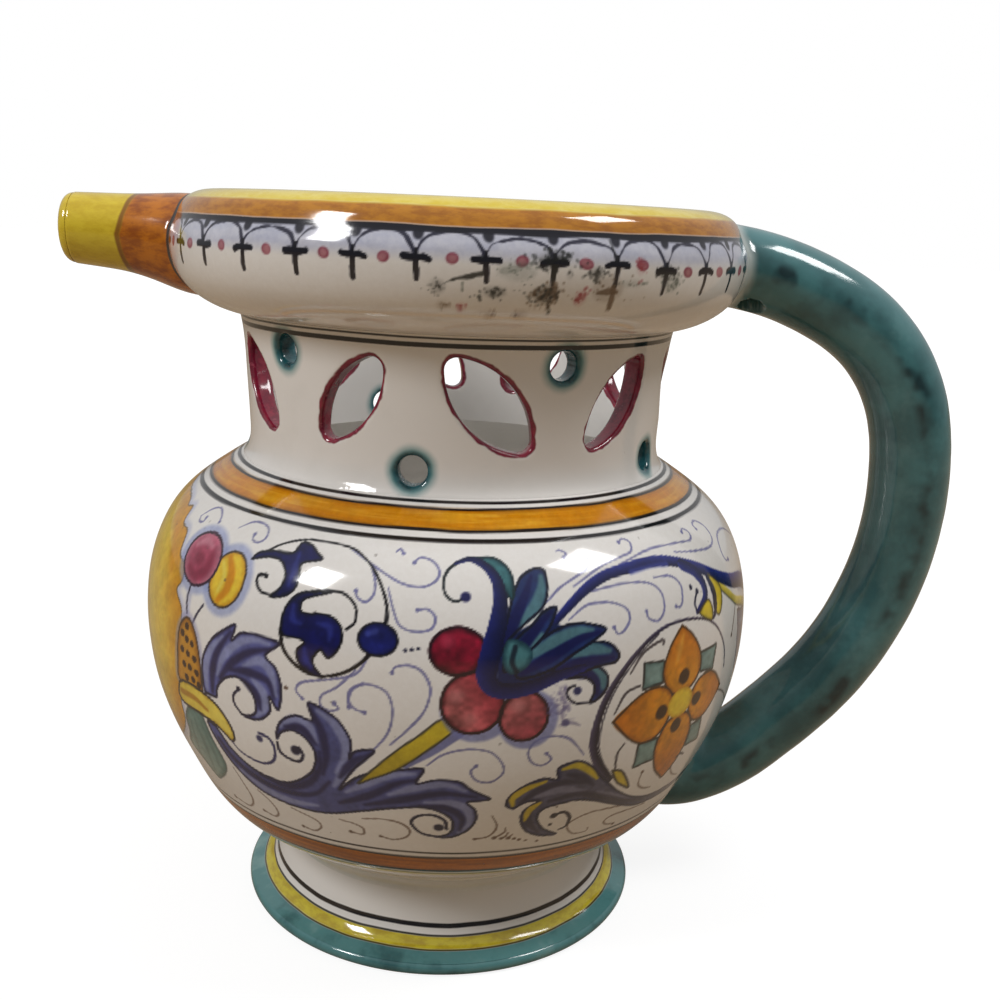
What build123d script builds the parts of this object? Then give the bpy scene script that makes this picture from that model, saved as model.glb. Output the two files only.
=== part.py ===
from build123d import *
from math import cos, radians, sin
import os

# A hand-thrown puzzle jug, in millimetres. The origin is the middle of the foot's resting
# face, +Z is the jug's axis, the handle is at +X and the spout at -X. Angles round the
# jug start at -Y, its front, and grow towards the handle.

# ---- driving dimensions ----
jug_height = 155.2
foot_radius = 44.9
foot_height = 14.5
waist_radius = 37.0
belly_radius = 66.1
belly_widest_z = 67.5
belly_wall = 4.5
floor_top_z = 19.0

shoulder_radius = 45.8
shoulder_z = 101.4
neck_radius = 44.3
neck_top_radius = 46.3
neck_top_z = 131.2
mouth_radius = 40.9

rim_radius = 60.0
rim_seam_z = 149.8
rim_seam_radius = 58.6
rim_wall = 4.0
gutter_middle_radius = 50.0

handle_diameter = 17.8
handle_bore = 9.5
suction_hole = 4.8
suction_hole_place = 0.062

spout_tip_x = -83.0
spout_tip_diameter = 14.4
spout_tip_z = 146.3
spout_bore = 7.4
spout_bore_z = 145.6

# Leaf-shaped cuts by hand in the neck: angle, length, width and lean to the left at the top.
leaf_cuts_z = 118.4
leaf_cuts = [
    (-61, 20.5, 9.6, 40), (-26, 19.0, 9.2, -36), (8, 22.2, 11.0, 43), (44, 20.8, 9.8, -40),
    (80, 20.4, 9.8, 40), (116, 20.0, 9.6, -38), (152, 21.0, 10.2, 41), (188, 20.2, 9.8, -38),
    (224, 20.6, 10.0, 39), (260, 20.0, 9.6, -40),
]
leaf_tip_radius = 2.2

# Round holes between the leaves, in turn near the bottom and the top of the neck.
hole_diameter = 5.6
hole_low_z = 105.9
hole_high_z = 126.0
first_hole_angle = -10
hole_count = 10

# The middle line of the handle, from the rim round to the belly, as (x, z).
handle_line = [
    (51, 145.2), (67, 142.5), (79, 138), (90, 131), (99.5, 117.5), (103, 99.5),
    (101.5, 81), (96, 64.5), (87.5, 50.5), (77.5, 40), (67.5, 31.5), (58.5, 27.1), (50.5, 26.4),
    (43.5, 31),
]
lute_radius = 3.8


def rz(radius, z):
    """A point of a turned outline: its distance from the axis and its height."""
    return Vector(radius, 0, z)


def turned(*edges):
    """What the wheel makes: a closed outline spun round the jug's axis."""
    return revolve(Face(Wire(edges)), Axis.Z)


def inner_points(skin, wall, places):
    """Points one wall's thickness inside a skin curve that runs upwards."""
    points = []
    for place in places:
        along = skin % place
        points.append(skin @ place + Vector(-along.Z, 0, along.X) * wall)
    return points


def radial_plane(angle, radius, z):
    """A plane that faces outwards at an angle round the jug, with its Y upwards."""
    turn = radians(angle)
    outwards = Vector(sin(turn), -cos(turn), 0)
    sideways = Vector(cos(turn), sin(turn), 0)
    return Plane(origin=outwards * radius + Vector(0, 0, z), x_dir=sideways, z_dir=outwards)


def solid_one(shape):
    """The one solid in a shape."""
    solids = shape.solids()
    assert len(solids) == 1, f"{len(solids)} solids"
    return solids[0]


# ---- the foot: a ring thrown by itself, with a recess under the floor ----
def make_foot():
    inner_radius = 34.4
    inner_top_radius = 30.5
    lip_under = 43.5
    lip_top = rz(44.3, 2.7)
    return turned(
        Line(rz(inner_radius, 0), rz(lip_under, 0)),
        ThreePointArc(rz(lip_under, 0), rz(foot_radius, 1.4), lip_top),
        Spline(
            lip_top, rz(40.9, 4.2), rz(39.0, 6.4), rz(38.0, 9.2), rz(waist_radius, foot_height),
            tangents=[(-1, 0, 0.3), (0, 0, 1)],
        ),
        Line(rz(waist_radius, foot_height), rz(inner_top_radius, foot_height)),
        Line(rz(inner_top_radius, foot_height), rz(inner_radius, 0)),
    )


# ---- the belly: a round bowl drawn in to the shoulder ----
belly_skin = Spline(
    rz(waist_radius, foot_height), rz(39.2, 18.8), rz(50, 26.2), rz(58.2, 38.4), rz(63.6, 51.5),
    rz(belly_radius, belly_widest_z), rz(64.5, 81.3), rz(58.9, 91.9), rz(50.8, 98.3),
    rz(shoulder_radius, shoulder_z),
    tangents=[(0.1, 0, 1), (-1, 0, 0.55)],
)


def make_belly():
    inside = Spline(
        rz(0, floor_top_z), rz(24, floor_top_z + 0.6),
        *inner_points(belly_skin, belly_wall, (0.16, 0.3, 0.45, 0.6, 0.75, 0.88)),
        rz(mouth_radius, shoulder_z),
        tangents=[(1, 0, 0), (-0.2, 0, 1)],
    )
    return turned(
        Line(rz(0, foot_height), rz(waist_radius, foot_height)),
        belly_skin,
        Line(rz(shoulder_radius, shoulder_z), rz(mouth_radius, shoulder_z)),
        inside,
        Line(rz(0, floor_top_z), rz(0, foot_height)),
    )


# ---- the neck: a collar pierced through with leaves and round holes ----
def leaf_outline(length, width):
    """A leaf of two arcs whose tips the knife has rounded."""
    half = length / 2 + leaf_tip_radius * 0.55
    leaf = Face(Wire([
        ThreePointArc((0, -half), (width / 2, 0), (0, half)),
        ThreePointArc((0, half), (-width / 2, 0), (0, -half)),
    ]))
    return fillet(leaf.vertices(), leaf_tip_radius)


def make_neck():
    neck_skin = Spline(
        rz(shoulder_radius, shoulder_z), rz(44.5, 104.2), rz(neck_radius, 109), rz(44.9, 119),
        rz(neck_top_radius, neck_top_z), tangents=[(-1, 0, 1), (0.25, 0, 1)],
    )
    neck = turned(
        neck_skin,
        Line(rz(neck_top_radius, neck_top_z), rz(mouth_radius, neck_top_z)),
        Spline(rz(mouth_radius, neck_top_z), rz(40.4, 117), rz(mouth_radius, shoulder_z)),
        Line(rz(mouth_radius, shoulder_z), rz(shoulder_radius, shoulder_z)),
    )
    knife_start = 34
    knife_run = 16
    for angle, length, width, lean in leaf_cuts:
        place = radial_plane(angle, knife_start, leaf_cuts_z)
        neck -= extrude(place * Rot(0, 0, lean) * leaf_outline(length, width), knife_run)
    for number in range(hole_count):
        z = hole_high_z if number % 2 else hole_low_z
        place = radial_plane(first_hole_angle + 360 / hole_count * number, knife_start, z)
        neck -= extrude(place * Circle(hole_diameter / 2), knife_run)
    return neck


# ---- the rim: a hollow ring, thrown as an open gutter and closed with a cap ----
def rim_outside():
    return Spline(
        rz(neck_top_radius, neck_top_z), rz(53.9, 133.9), rz(58.3, 138.2), rz(rim_radius, 143.4),
        rz(59.8, 147), rz(rim_seam_radius, rim_seam_z),
        tangents=[(1, 0, 0.12), (-0.4, 0, 1)],
    )


def cap_outside():
    return Spline(
        rz(rim_seam_radius, rim_seam_z), rz(57.2, 152.8), rz(54.4, 154.7),
        rz(gutter_middle_radius, jug_height), rz(44.9, 154), rz(42.2, 151.9),
        rz(mouth_radius + 0.6, rim_seam_z),
        tangents=[(-0.4, 0, 1), (-0.1, 0, -1)],
    )


def make_rim_channel():
    outer_edge = rz(rim_seam_radius - rim_wall, rim_seam_z)
    inner_edge = rz(mouth_radius + 0.6 + rim_wall, rim_seam_z)
    return turned(
        rim_outside(),
        Line(rz(rim_seam_radius, rim_seam_z), outer_edge),
        Spline(
            outer_edge, rz(55.9, 144), rz(54.3, 139.2), rz(gutter_middle_radius, 136.2),
            rz(46.4, 138.6), rz(45.2, 143), inner_edge,
        ),
        Line(inner_edge, rz(mouth_radius + 0.6, rim_seam_z)),
        Spline(rz(mouth_radius + 0.6, rim_seam_z), rz(mouth_radius + 0.4, 140),
               rz(mouth_radius, neck_top_z)),
        Line(rz(mouth_radius, neck_top_z), rz(neck_top_radius, neck_top_z)),
    )


def make_rim_cap():
    outer_edge = rz(rim_seam_radius - rim_wall, rim_seam_z)
    inner_edge = rz(mouth_radius + 0.6 + rim_wall, rim_seam_z)
    return turned(
        cap_outside(),
        Line(rz(mouth_radius + 0.6, rim_seam_z), inner_edge),
        ThreePointArc(inner_edge, rz(gutter_middle_radius, 151.6), outer_edge),
        Line(outer_edge, rz(rim_seam_radius, rim_seam_z)),
    )


def rim_envelope():
    """The rim and mouth as one full disc, which trims what is luted to the outside."""
    crown = cap_outside().trim(0, 0.5)
    return turned(
        Line(rz(0, neck_top_z), rz(neck_top_radius, neck_top_z)),
        rim_outside(),
        crown,
        Line(crown @ 1, rz(0, (crown @ 1).Z)),
        Line(rz(0, (crown @ 1).Z), rz(0, neck_top_z)),
    )


def belly_envelope():
    """The belly as one full lump."""
    return turned(
        Line(rz(0, foot_height), rz(waist_radius, foot_height)),
        belly_skin,
        Line(rz(shoulder_radius, shoulder_z), rz(0, shoulder_z)),
        Line(rz(0, shoulder_z), rz(0, foot_height)),
    )


# ---- the handle: a bent tube that carries the drink from the belly up to the rim ----
handle_path = Spline(*[rz(x, z) for x, z in handle_line])


def tube_along(path, diameter, stations):
    """A round tube along a flat path, through a circle square to it at each station."""
    circles = []
    for station in range(stations):
        place = station / (stations - 1)
        square = Plane(origin=path @ place, x_dir=(0, 1, 0), z_dir=path % place)
        circles.append(square * Circle(diameter / 2))
    return loft(circles)


def make_finger_hole():
    """The hole under the handle that a finger has to close: half down, half to the front."""
    place = handle_path @ suction_hole_place
    across = Plane(origin=place, x_dir=(1, 0, 0), z_dir=(0, -0.5, -0.866))
    return extrude(across * Circle(suction_hole / 2), handle_diameter)


def make_lute(tube, envelope):
    """The coil of soft clay that is smoothed into the corner where the tube is luted on."""
    joined = solid_one(envelope + tube)
    seam = [edge for edge in joined.edges() if edge_on(edge, tube) and edge_on(edge, envelope)]
    return fillet(seam, lute_radius) - envelope - tube


def edge_on(edge, shape):
    """Whether an edge lies on a shape's skin all along."""
    skin = shape.shells()[0]
    return all(skin.distance_to(edge @ place) < 0.02 for place in (0.15, 0.5, 0.85))


# ---- the spout: a short drawn nozzle, flared where it joins the rim ----
def make_spout(bore):
    # Each ring of the nozzle: x, middle height and diameter.
    rings = [
        (spout_tip_x, spout_tip_z, spout_tip_diameter), (-76.5, 146.0, 15.2),
        (-70, 145.6, 16.2), (-64, 144.9, 18.2), (-58.5, 144.1, 20.4), (-50, 143.2, 21.0),
    ]
    circles = [
        Plane(origin=(x, 0, z), x_dir=(0, 1, 0), z_dir=(-1, 0, 0)) * Circle(diameter / 2)
        for x, z, diameter in reversed(rings)
    ]
    nozzle = loft(circles)
    tip_edge = nozzle.edges().sort_by(Axis.X)[0]
    nozzle = fillet(tip_edge, 1.4)
    return solid_one(nozzle - rim_envelope() - bore)


def make_spout_bore():
    start = Plane(origin=(spout_tip_x - 1, 0, spout_bore_z), z_dir=(1, 0, 0))
    run = -spout_tip_x + 1 - gutter_middle_radius
    return extrude(start * Circle(spout_bore / 2), run)


def build():
    handle_passage = tube_along(handle_path, handle_bore, 19)
    handle_tube = tube_along(handle_path, handle_diameter, 19)
    finger_hole = make_finger_hole()
    spout_passage = make_spout_bore()
    rim_lump = rim_envelope()
    belly_lump = belly_envelope()
    return {
        "foot_ring": make_foot(),
        "belly": make_belly() - handle_passage,
        "pierced_neck": make_neck(),
        "rim_channel": make_rim_channel() - handle_passage - spout_passage,
        "rim_cap": make_rim_cap(),
        "handle": handle_tube - rim_lump - belly_lump - handle_passage - finger_hole,
        "upper_lute": make_lute(handle_tube, rim_lump) - finger_hole,
        "lower_lute": make_lute(handle_tube, belly_lump),
        "spout": make_spout(spout_passage),
    }


os.makedirs("parts", exist_ok=True)
for name, shape in build().items():
    piece = solid_one(shape)
    piece.label = name
    export_step(piece, f"parts/{name}.step")
    print(f"{name}: {piece.volume / 1000:.1f} cm3")
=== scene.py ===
"""The looks of a painted puzzle jug, built round its solids in their frame: +Z up, the spout at -X."""

import bmesh
import bpy
import numpy as np
from mathutils import Matrix, Vector


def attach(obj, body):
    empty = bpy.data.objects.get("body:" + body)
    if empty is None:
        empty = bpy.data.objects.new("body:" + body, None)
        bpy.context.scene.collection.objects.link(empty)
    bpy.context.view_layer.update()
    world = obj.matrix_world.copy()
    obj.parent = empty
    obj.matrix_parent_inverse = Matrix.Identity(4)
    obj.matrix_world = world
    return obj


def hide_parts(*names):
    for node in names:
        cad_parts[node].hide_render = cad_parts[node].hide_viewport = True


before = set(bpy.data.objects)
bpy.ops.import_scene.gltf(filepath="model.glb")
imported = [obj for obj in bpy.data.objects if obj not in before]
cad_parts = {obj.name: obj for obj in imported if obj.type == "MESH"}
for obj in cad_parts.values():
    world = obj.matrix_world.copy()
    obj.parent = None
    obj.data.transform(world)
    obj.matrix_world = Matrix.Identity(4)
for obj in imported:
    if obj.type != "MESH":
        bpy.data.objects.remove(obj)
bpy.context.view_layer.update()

MM = 0.001

# -------------------- colours of the glaze paints (sRGB, 0-255)
WHITE = (233, 230, 226)
BLACK = (18, 17, 22)
NAVY = (16, 18, 80)
INK = (30, 30, 58)
LAVENDER = (138, 144, 184)
WASH = (186, 190, 216)
LILAC = (112, 112, 158)
ORANGE = (204, 128, 8)
AMBER = (222, 160, 40)
RUST = (158, 92, 14)
YELLOW = (222, 196, 50)
LEMON = (232, 214, 92)
MAGENTA = (140, 34, 58)
WINE = (92, 16, 34)
UMBER = (96, 74, 62)
CLAY = (196, 168, 138)

PATH_STEP = 0.6
PAINT_GRAIN = 0.07
SIDES_GRAIN = 0.10
BAND_GRAIN = 0.04


# -------------------- brush marks on a flat grid
def smooth_path(points, closed=False):
    """A rounded curve through the points, as short straight runs."""
    points = np.array(points, float)
    if closed:
        padded = np.vstack((points[-1:], points, points[:2]))
    else:
        padded = np.vstack((2 * points[0] - points[1], points, 2 * points[-1] - points[-2]))
    runs = []
    for before, start, end, after in zip(padded, padded[1:], padded[2:], padded[3:]):
        count = max(2, int(np.ceil(np.hypot(*(end - start)) / PATH_STEP)))
        t = np.linspace(0, 1, count, endpoint=False)[:, None]
        linear = end - before
        square = 2 * before - 5 * start + 4 * end - after
        cube = 3 * start - before - 3 * end + after
        runs.append(start + 0.5 * (linear * t + square * t**2 + cube * t**3))
    runs.append(padded[-2:-1])
    return np.vstack(runs)


def smooth_step(low, high, value):
    ratio = np.clip((value - low) / (high - low), 0, 1)
    return ratio * ratio * (3 - 2 * ratio)


def soft_edge(edge, soft, value):
    """Goes from 0 to 1 where the value passes an edge of that softness."""
    return smooth_step(edge - soft / 2, edge + soft / 2, value)


class Canvas:
    """Glaze paint on a rectangular grid: x runs round the jug, y up its profile, both in millimetres."""

    def __init__(self, x, y, ground=WHITE, seed=3):
        self.x, self.y = np.asarray(x, float), np.asarray(y, float)
        self.colour = np.empty((len(y), len(x), 3))
        self.colour[:] = ground
        self.seed = seed
        self.blotches = self.noise(2.2) * 0.6 + self.noise(0.8) * 0.4

    def noise(self, grain, stretch=1.0):
        """Smooth random values from -1 to 1 with blobs of that size, longer along x by stretch."""
        self.seed += 1
        random = np.random.default_rng(self.seed)
        across = (self.x - self.x[0]) / (grain * stretch)
        up = (self.y - self.y[0]) / grain
        lattice = random.uniform(-1, 1, (int(up[-1]) + 3, int(across[-1]) + 3))
        column, row = across.astype(int), up.astype(int)
        u = smooth_step(0, 1, across - column)[None, :]
        v = smooth_step(0, 1, up - row)[:, None]
        near = lattice[row][:, column] * (1 - u) + lattice[row][:, column + 1] * u
        far = lattice[row + 1][:, column] * (1 - u) + lattice[row + 1][:, column + 1] * u
        return near * (1 - v) + far * v

    def window(self, low, high):
        rows = slice(*np.searchsorted(self.y, (low[1], high[1])))
        columns = slice(*np.searchsorted(self.x, (low[0], high[0])))
        return rows, columns

    def nearest(self, path, reach):
        """On the cells within reach of a path: its distance, the place along it from 0 to 1, and the side."""
        rows, columns = self.window(path.min(0) - reach, path.max(0) + reach)
        shape = (rows.stop - rows.start, columns.stop - columns.start)
        distance, along, side = np.full(shape, 2.0 * reach), np.zeros(shape), np.zeros(shape)
        lengths = np.hypot(*np.diff(path, axis=0).T)
        starts = np.concatenate(([0], np.cumsum(lengths)))
        for k, (a, b) in enumerate(zip(path, path[1:])):
            if lengths[k] < 1e-6:
                continue
            inner_rows, inner_columns = self.window(np.minimum(a, b) - reach, np.maximum(a, b) + reach)
            x = self.x[inner_columns][None, :] - a[0]
            y = self.y[inner_rows][:, None] - a[1]
            dx, dy = (b - a) / lengths[k]
            t = np.clip(x * dx + y * dy, 0, lengths[k])
            gap = np.hypot(x - t * dx, y - t * dy)
            part = (
                slice(inner_rows.start - rows.start, inner_rows.stop - rows.start),
                slice(inner_columns.start - columns.start, inner_columns.stop - columns.start),
            )
            closer = gap < distance[part]
            distance[part] = np.where(closer, gap, distance[part])
            along[part] = np.where(closer, (starts[k] + t) / starts[-1], along[part])
            side[part] = np.where(closer, np.sign(dx * y - dy * x), side[part])
        return (rows, columns), distance, along, side

    def lay(self, where, colour, cover):
        """Lays a colour, or a colour for each cell, over the window as far as cover says."""
        spot = self.colour[where]
        spot += (np.asarray(colour, float) - spot) * np.clip(cover, 0, 1)[..., None]

    def stroke(self, points, width, colour, opacity=1.0, soft=0.22, sides=None, wobble=0.06):
        """A brush line; width is one value or several, spread evenly along it; sides tint its two edges."""
        path = smooth_path(points)
        widths = np.atleast_1d(np.asarray(width, float))
        reach = widths.max() / 2 + soft + 0.2
        where, distance, along, side = self.nearest(path, reach)
        blotch = self.blotches[where]
        half = np.interp(along, np.linspace(0, 1, len(widths)), widths) / 2 + wobble * blotch
        cover = opacity * (1 - soft_edge(half, soft, distance))
        tint = np.asarray(colour, float) * (1 + PAINT_GRAIN * blotch[..., None])
        if sides is not None:
            ratio = (0.5 + 0.5 * side * np.clip(distance / np.maximum(half, 0.1), 0, 1))[..., None]
            tint = np.asarray(sides[1], float) * (1 - ratio) + np.asarray(sides[0], float) * ratio
            tint = tint * (1 + SIDES_GRAIN * blotch[..., None])
        self.lay(where, tint, cover)

    def fill(self, outline, colour, opacity=1.0, soft=0.3, pool=None, pool_width=1.2, slope=None,
             mottle=PAINT_GRAIN):
        """A painted patch; pool is the colour at its edge, slope = (colour, dx, dy) fades to that side."""
        path = smooth_path(outline, closed=True)
        where, distance = self.nearest(path, max(soft, pool_width) + 0.6)[:2]
        x = self.x[where[1]][None, :]
        y = self.y[where[0]][:, None]
        inside = np.zeros(distance.shape, bool)
        for (ax, ay), (bx, by) in zip(path, np.roll(path, -1, axis=0)):
            if ay != by:
                inside ^= ((ay > y) != (by > y)) & (x < ax + (y - ay) * (bx - ax) / (by - ay))
        depth = np.where(inside, distance, -distance)
        blotch = self.blotches[where]
        tint = np.broadcast_to(np.asarray(colour, float), depth.shape + (3,)).copy()
        if slope is not None:
            towards = x * slope[1] + y * slope[2]
            reach = path @ np.array(slope[1:])
            ratio = smooth_step(reach.min(), reach.max(), towards + 0.6 * blotch)[..., None]
            tint += (np.asarray(slope[0], float) - tint) * ratio
        if pool is not None:
            ratio = (1 - smooth_step(0, pool_width, depth + 0.3 * blotch))[..., None]
            tint += (np.asarray(pool, float) - tint) * ratio
        tint *= 1 + mottle * blotch[..., None]
        self.lay(where, tint, opacity * soft_edge(0, soft, depth))

    def outline(self, points, width, colour, opacity=1.0, closed=True, soft=0.2):
        """The line round a patch."""
        points = list(points)
        self.stroke(points + points[:1] if closed else points, width, colour, opacity, soft)

    def dot(self, centre, radius, colour, opacity=1.0, soft=0.25):
        rows, columns = self.window(np.array(centre) - radius - 1, np.array(centre) + radius + 1)
        gap = np.hypot(self.x[columns][None, :] - centre[0], self.y[rows][:, None] - centre[1])
        gap = gap + 0.15 * self.blotches[rows, columns]
        self.lay((rows, columns), colour, opacity * (1 - soft_edge(radius, soft, gap)))

    def band(self, low, high, colour, other=None, grain=1.0, stretch=14.0, soft=0.2, wobble=0.12,
             opacity=1.0):
        """A band that runs right round; other is a second colour brushed through it in streaks."""
        rows = slice(*np.searchsorted(self.y, (low - 1, high + 1)))
        where = (rows, slice(0, len(self.x)))
        sway = self.noise(9.0, 1.0)[rows] * wobble
        y = self.y[rows][:, None] + sway
        cover = soft_edge(low, soft, y) * (1 - soft_edge(high, soft, y))
        tint = np.broadcast_to(np.asarray(colour, float), cover.shape + (3,)).copy()
        if other is not None:
            streak = self.noise(grain, stretch)[rows] * 0.6 + self.noise(grain * 0.4, stretch)[rows] * 0.4
            tint += (np.asarray(other, float) - tint) * smooth_step(-0.5, 0.7, streak)[..., None]
        self.lay(where, tint * (1 + BAND_GRAIN * self.blotches[where][..., None]), cover * opacity)

    @staticmethod
    def straight_sided(corners):
        """Points along a patch's straight sides."""
        sides = zip(corners, corners[1:] + corners[:1])
        return np.vstack([np.linspace(a, b, 4, endpoint=False) for a, b in sides])

    def ellipse(self, centre, radii, lean=0.0, count=14):
        """Points round an ellipse, leaning to the left by that many degrees."""
        turn = np.linspace(0, 2 * np.pi, count, endpoint=False)
        a, b = radii[0] * np.cos(turn), radii[1] * np.sin(turn)
        c, s = np.cos(np.radians(lean)), np.sin(np.radians(lean))
        return np.column_stack((centre[0] + a * c - b * s, centre[1] + a * s + b * c))


# -------------------- painting of the belly: x runs round it, y up from BAND_ZERO_Z
def paint_bands(canvas):
    """The turned bands over and under the painted field."""
    canvas.band(65.0, 70.6, ORANGE, AMBER, grain=0.9)
    canvas.band(65.0, 66.2, RUST, soft=0.8, opacity=0.35)
    canvas.band(69.6, 70.8, RUST, soft=0.8, opacity=0.45)
    for low, high in ((62.4, 63.4), (64.8, 65.6), (70.2, 70.8), (71.9, 72.7)):
        canvas.band(low, high, BLACK, soft=0.25)
    canvas.band(-9.7, -4.7, (190, 110, 10), (146, 80, 6), grain=1.1)
    for low, high in ((-3.2, -2.7), (-4.9, -4.3), (-10.3, -9.5)):
        canvas.band(low, high, (40, 34, 34), soft=0.3)
    canvas.band(-11.6, -11.2, (60, 52, 50), soft=0.35, opacity=0.8)


THIN_CURLS = (
    ((-62.5, 58), (-60.5, 60.5), (-58, 61.3), (-55.5, 60), (-54.5, 58.6)),
    ((-62.5, 58), (-61.5, 57), (-60, 57.2), (-60, 58.3)),
    ((-47.5, 59), (-45, 61), (-42, 61.3), (-39.7, 60.4), (-39, 58.4), (-40.3, 57.2), (-42, 57.6),
        (-42.2, 58.7)),
    ((-20, 59.8), (-14.4, 56.8), (-8.9, 54), (-5, 53.4), (-2.5, 54.6), (-1.9, 56.5), (-3.3, 58.4),
        (-5.6, 59), (-6.7, 57.9)),
    ((-15, 57.3), (-13.6, 54.6), (-13.1, 51.8), (-14.4, 50), (-16.1, 50.7), (-16.5, 51.8)),
    ((-10.8, 52.9), (-9.4, 49), (-8.1, 46.5), (-5.6, 45.6), (-2.8, 46.2), (-2.2, 48.2), (-3.6, 49.6),
        (-5.3, 49.3)),
    ((-8.9, 24.6), (-5.6, 28.4), (-3.3, 31.8), (-2.5, 35.7), (-3.9, 38.7), (-6.1, 39.7), (-8.3, 39.3),
        (-8.9, 38.2)),
    ((-12.2, 22.6), (-9.4, 26.8), (-8.6, 31.2), (-9.7, 34.6), (-12.8, 35.7), (-15.3, 34.6), (-16, 32.3),
        (-15, 30.9), (-13.3, 30.4)),
    ((-2.8, 20.7), (0, 23.2), (3.9, 24.3), (7.8, 23.7), (10, 21.2), (10.3, 19), (8.3, 17.1), (5.8, 17.6),
        (4.7, 19.6), (5.6, 20.8)),
    ((25, 21.2), (21.7, 25.1), (18.3, 26.1), (15.6, 25.4), (14.4, 23.2), (15.3, 20.9), (17.2, 20.1),
        (18.7, 21.2), (17.8, 22.6)),
    ((-13, 40.5), (-15, 37.3), (-19.4, 35.7), (-24.4, 34.3), (-25.6, 32.6), (-24.4, 31.2)),
    ((-15, 38), (-18, 34.6), (-20.8, 32.5), (-21, 30.6), (-19.4, 29.8), (-17.8, 30.5), (-18.6, 31.4)),
    ((-13.5, 36), (-16, 34), (-16, 31)),
    ((-10.5, 59.8), (-9.8, 60.5), (-9, 59.6)),
    ((17, 50.4), (20, 53), (24, 55), (26.5, 56.2), (27.5, 58.2)),
    ((23, 53.2), (29.4, 56.2), (35, 57.6), (38.3, 58.4), (39.2, 60.4), (37.8, 61.3), (36.4, 60.7)),
    ((34, 56.2), (42.8, 58), (51.1, 57.9), (57.8, 57.4), (59.2, 59), (57.8, 60.1), (56.7, 59.4)),
    ((21.1, 47.3), (25, 49.6), (29.4, 49.6), (32.8, 48.2), (33.5, 46.2), (32.2, 44.3), (30.6, 43.7),
        (29.9, 45)),
    ((25, 51.8), (31.7, 52.5), (37.2, 52.3), (40.6, 51.2), (42.2, 49), (41.9, 46.2), (40, 44.6),
        (37.8, 45.4), (37.5, 46.8)),
    ((41.1, 52.6), (45.6, 52.1), (47.8, 50.1), (47.5, 47.3), (46.5, 46), (45.3, 46.2)),
    ((21.2, 60.2), (22, 60.4), (23.2, 59.6), (22.4, 58.8)),
    ((50, 56.2), (57, 55), (64, 54.3), (67.5, 55.6), (67.8, 58.4), (65.5, 60.4), (63.2, 60), (63.2, 58.8)),
    ((84, 52), (79, 54.8), (74, 55.6), (70.4, 54.8), (68.5, 52), (69.3, 50), (71, 49.8)),
)
FAINT_CURLS = (
    ((-49.4, -0.7), (-44.4, -1), (-41.9, 2.3), (-42.8, 7.3), (-43.9, 10.1)),
    ((-39.7, -0.2), (-36.7, -0.7), (-35.1, 1.2), (-36.1, 4), (-38.6, 6.2)),
    ((-29.4, -0.7), (-26.7, -1.1), (-24.7, 0.7), (-25.6, 2.6), (-30.6, 4.3)),
    ((-18.1, 1.2), (-15.6, 1), (-15.3, 2.9), (-17.2, 4), (-20, 4.4)),
    ((-11.9, 1.2), (-9.4, 0.6), (-6.7, 1.8), (-6, 4), (-7.8, 5.9), (-11.1, 6.5), (-15, 5.9)),
    ((40.5, 4), (31.1, 5.1), (26.7, 3.7), (26.1, 1.8), (28.3, -0.7), (31.7, -1), (31.7, 0)),
    ((39.4, -1.6), (36.7, -0.7), (35.8, 0.7), (37.8, 1.8), (42.8, 1.5), (48, 1)),
    ((6.7, 1.6), (9.4, 2.3), (10.7, 5.1), (9.4, 8.4)),
    ((10.6, 1.7), (11.6, 2.4), (12.5, 3.4), (12.4, 4.6)),
    ((12.1, 1.4), (12.9, 1.9), (13.2, 3)),
    ((13.5, 1.3), (14.2, 2.3)),
    ((40.5, 12.8), (40.8, 9.6), (43, 7.6), (46, 6.6)),
    ((50.8, 9.8), (53.5, 7), (57.5, 5)),
    ((66, 35), (68, 39), (70, 42)),
    ((61, 25), (66, 22.5), (74, 17), (84, 13), (96, 13.6)),
)


def paint_curls(canvas):
    """The thin pen curls that fill the ground between the big leaves."""
    for curl in THIN_CURLS:
        canvas.stroke(curl, (0.3, 0.5, 0.42, 0.5, 0.4), LILAC, 0.9)
        canvas.dot(curl[-1], 0.42, LILAC, 0.9)
    for curl in FAINT_CURLS:
        canvas.stroke(curl, (0.42, 0.5, 0.3), UMBER, 0.75)
        canvas.dot(curl[0], 0.45, UMBER, 0.8)
    for x, y in ((14.8, 0.9), (15.9, 0.4), (17.4, -0.1), (20, -0.8), (-27.6, 32.6)):
        canvas.dot((x, y), 0.33, UMBER, 0.9)
    for x, y in ((-6.9, 42.3), (-5.8, 42.5), (-4.7, 42.7)):
        canvas.dot((x, y), 0.33, INK)


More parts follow.
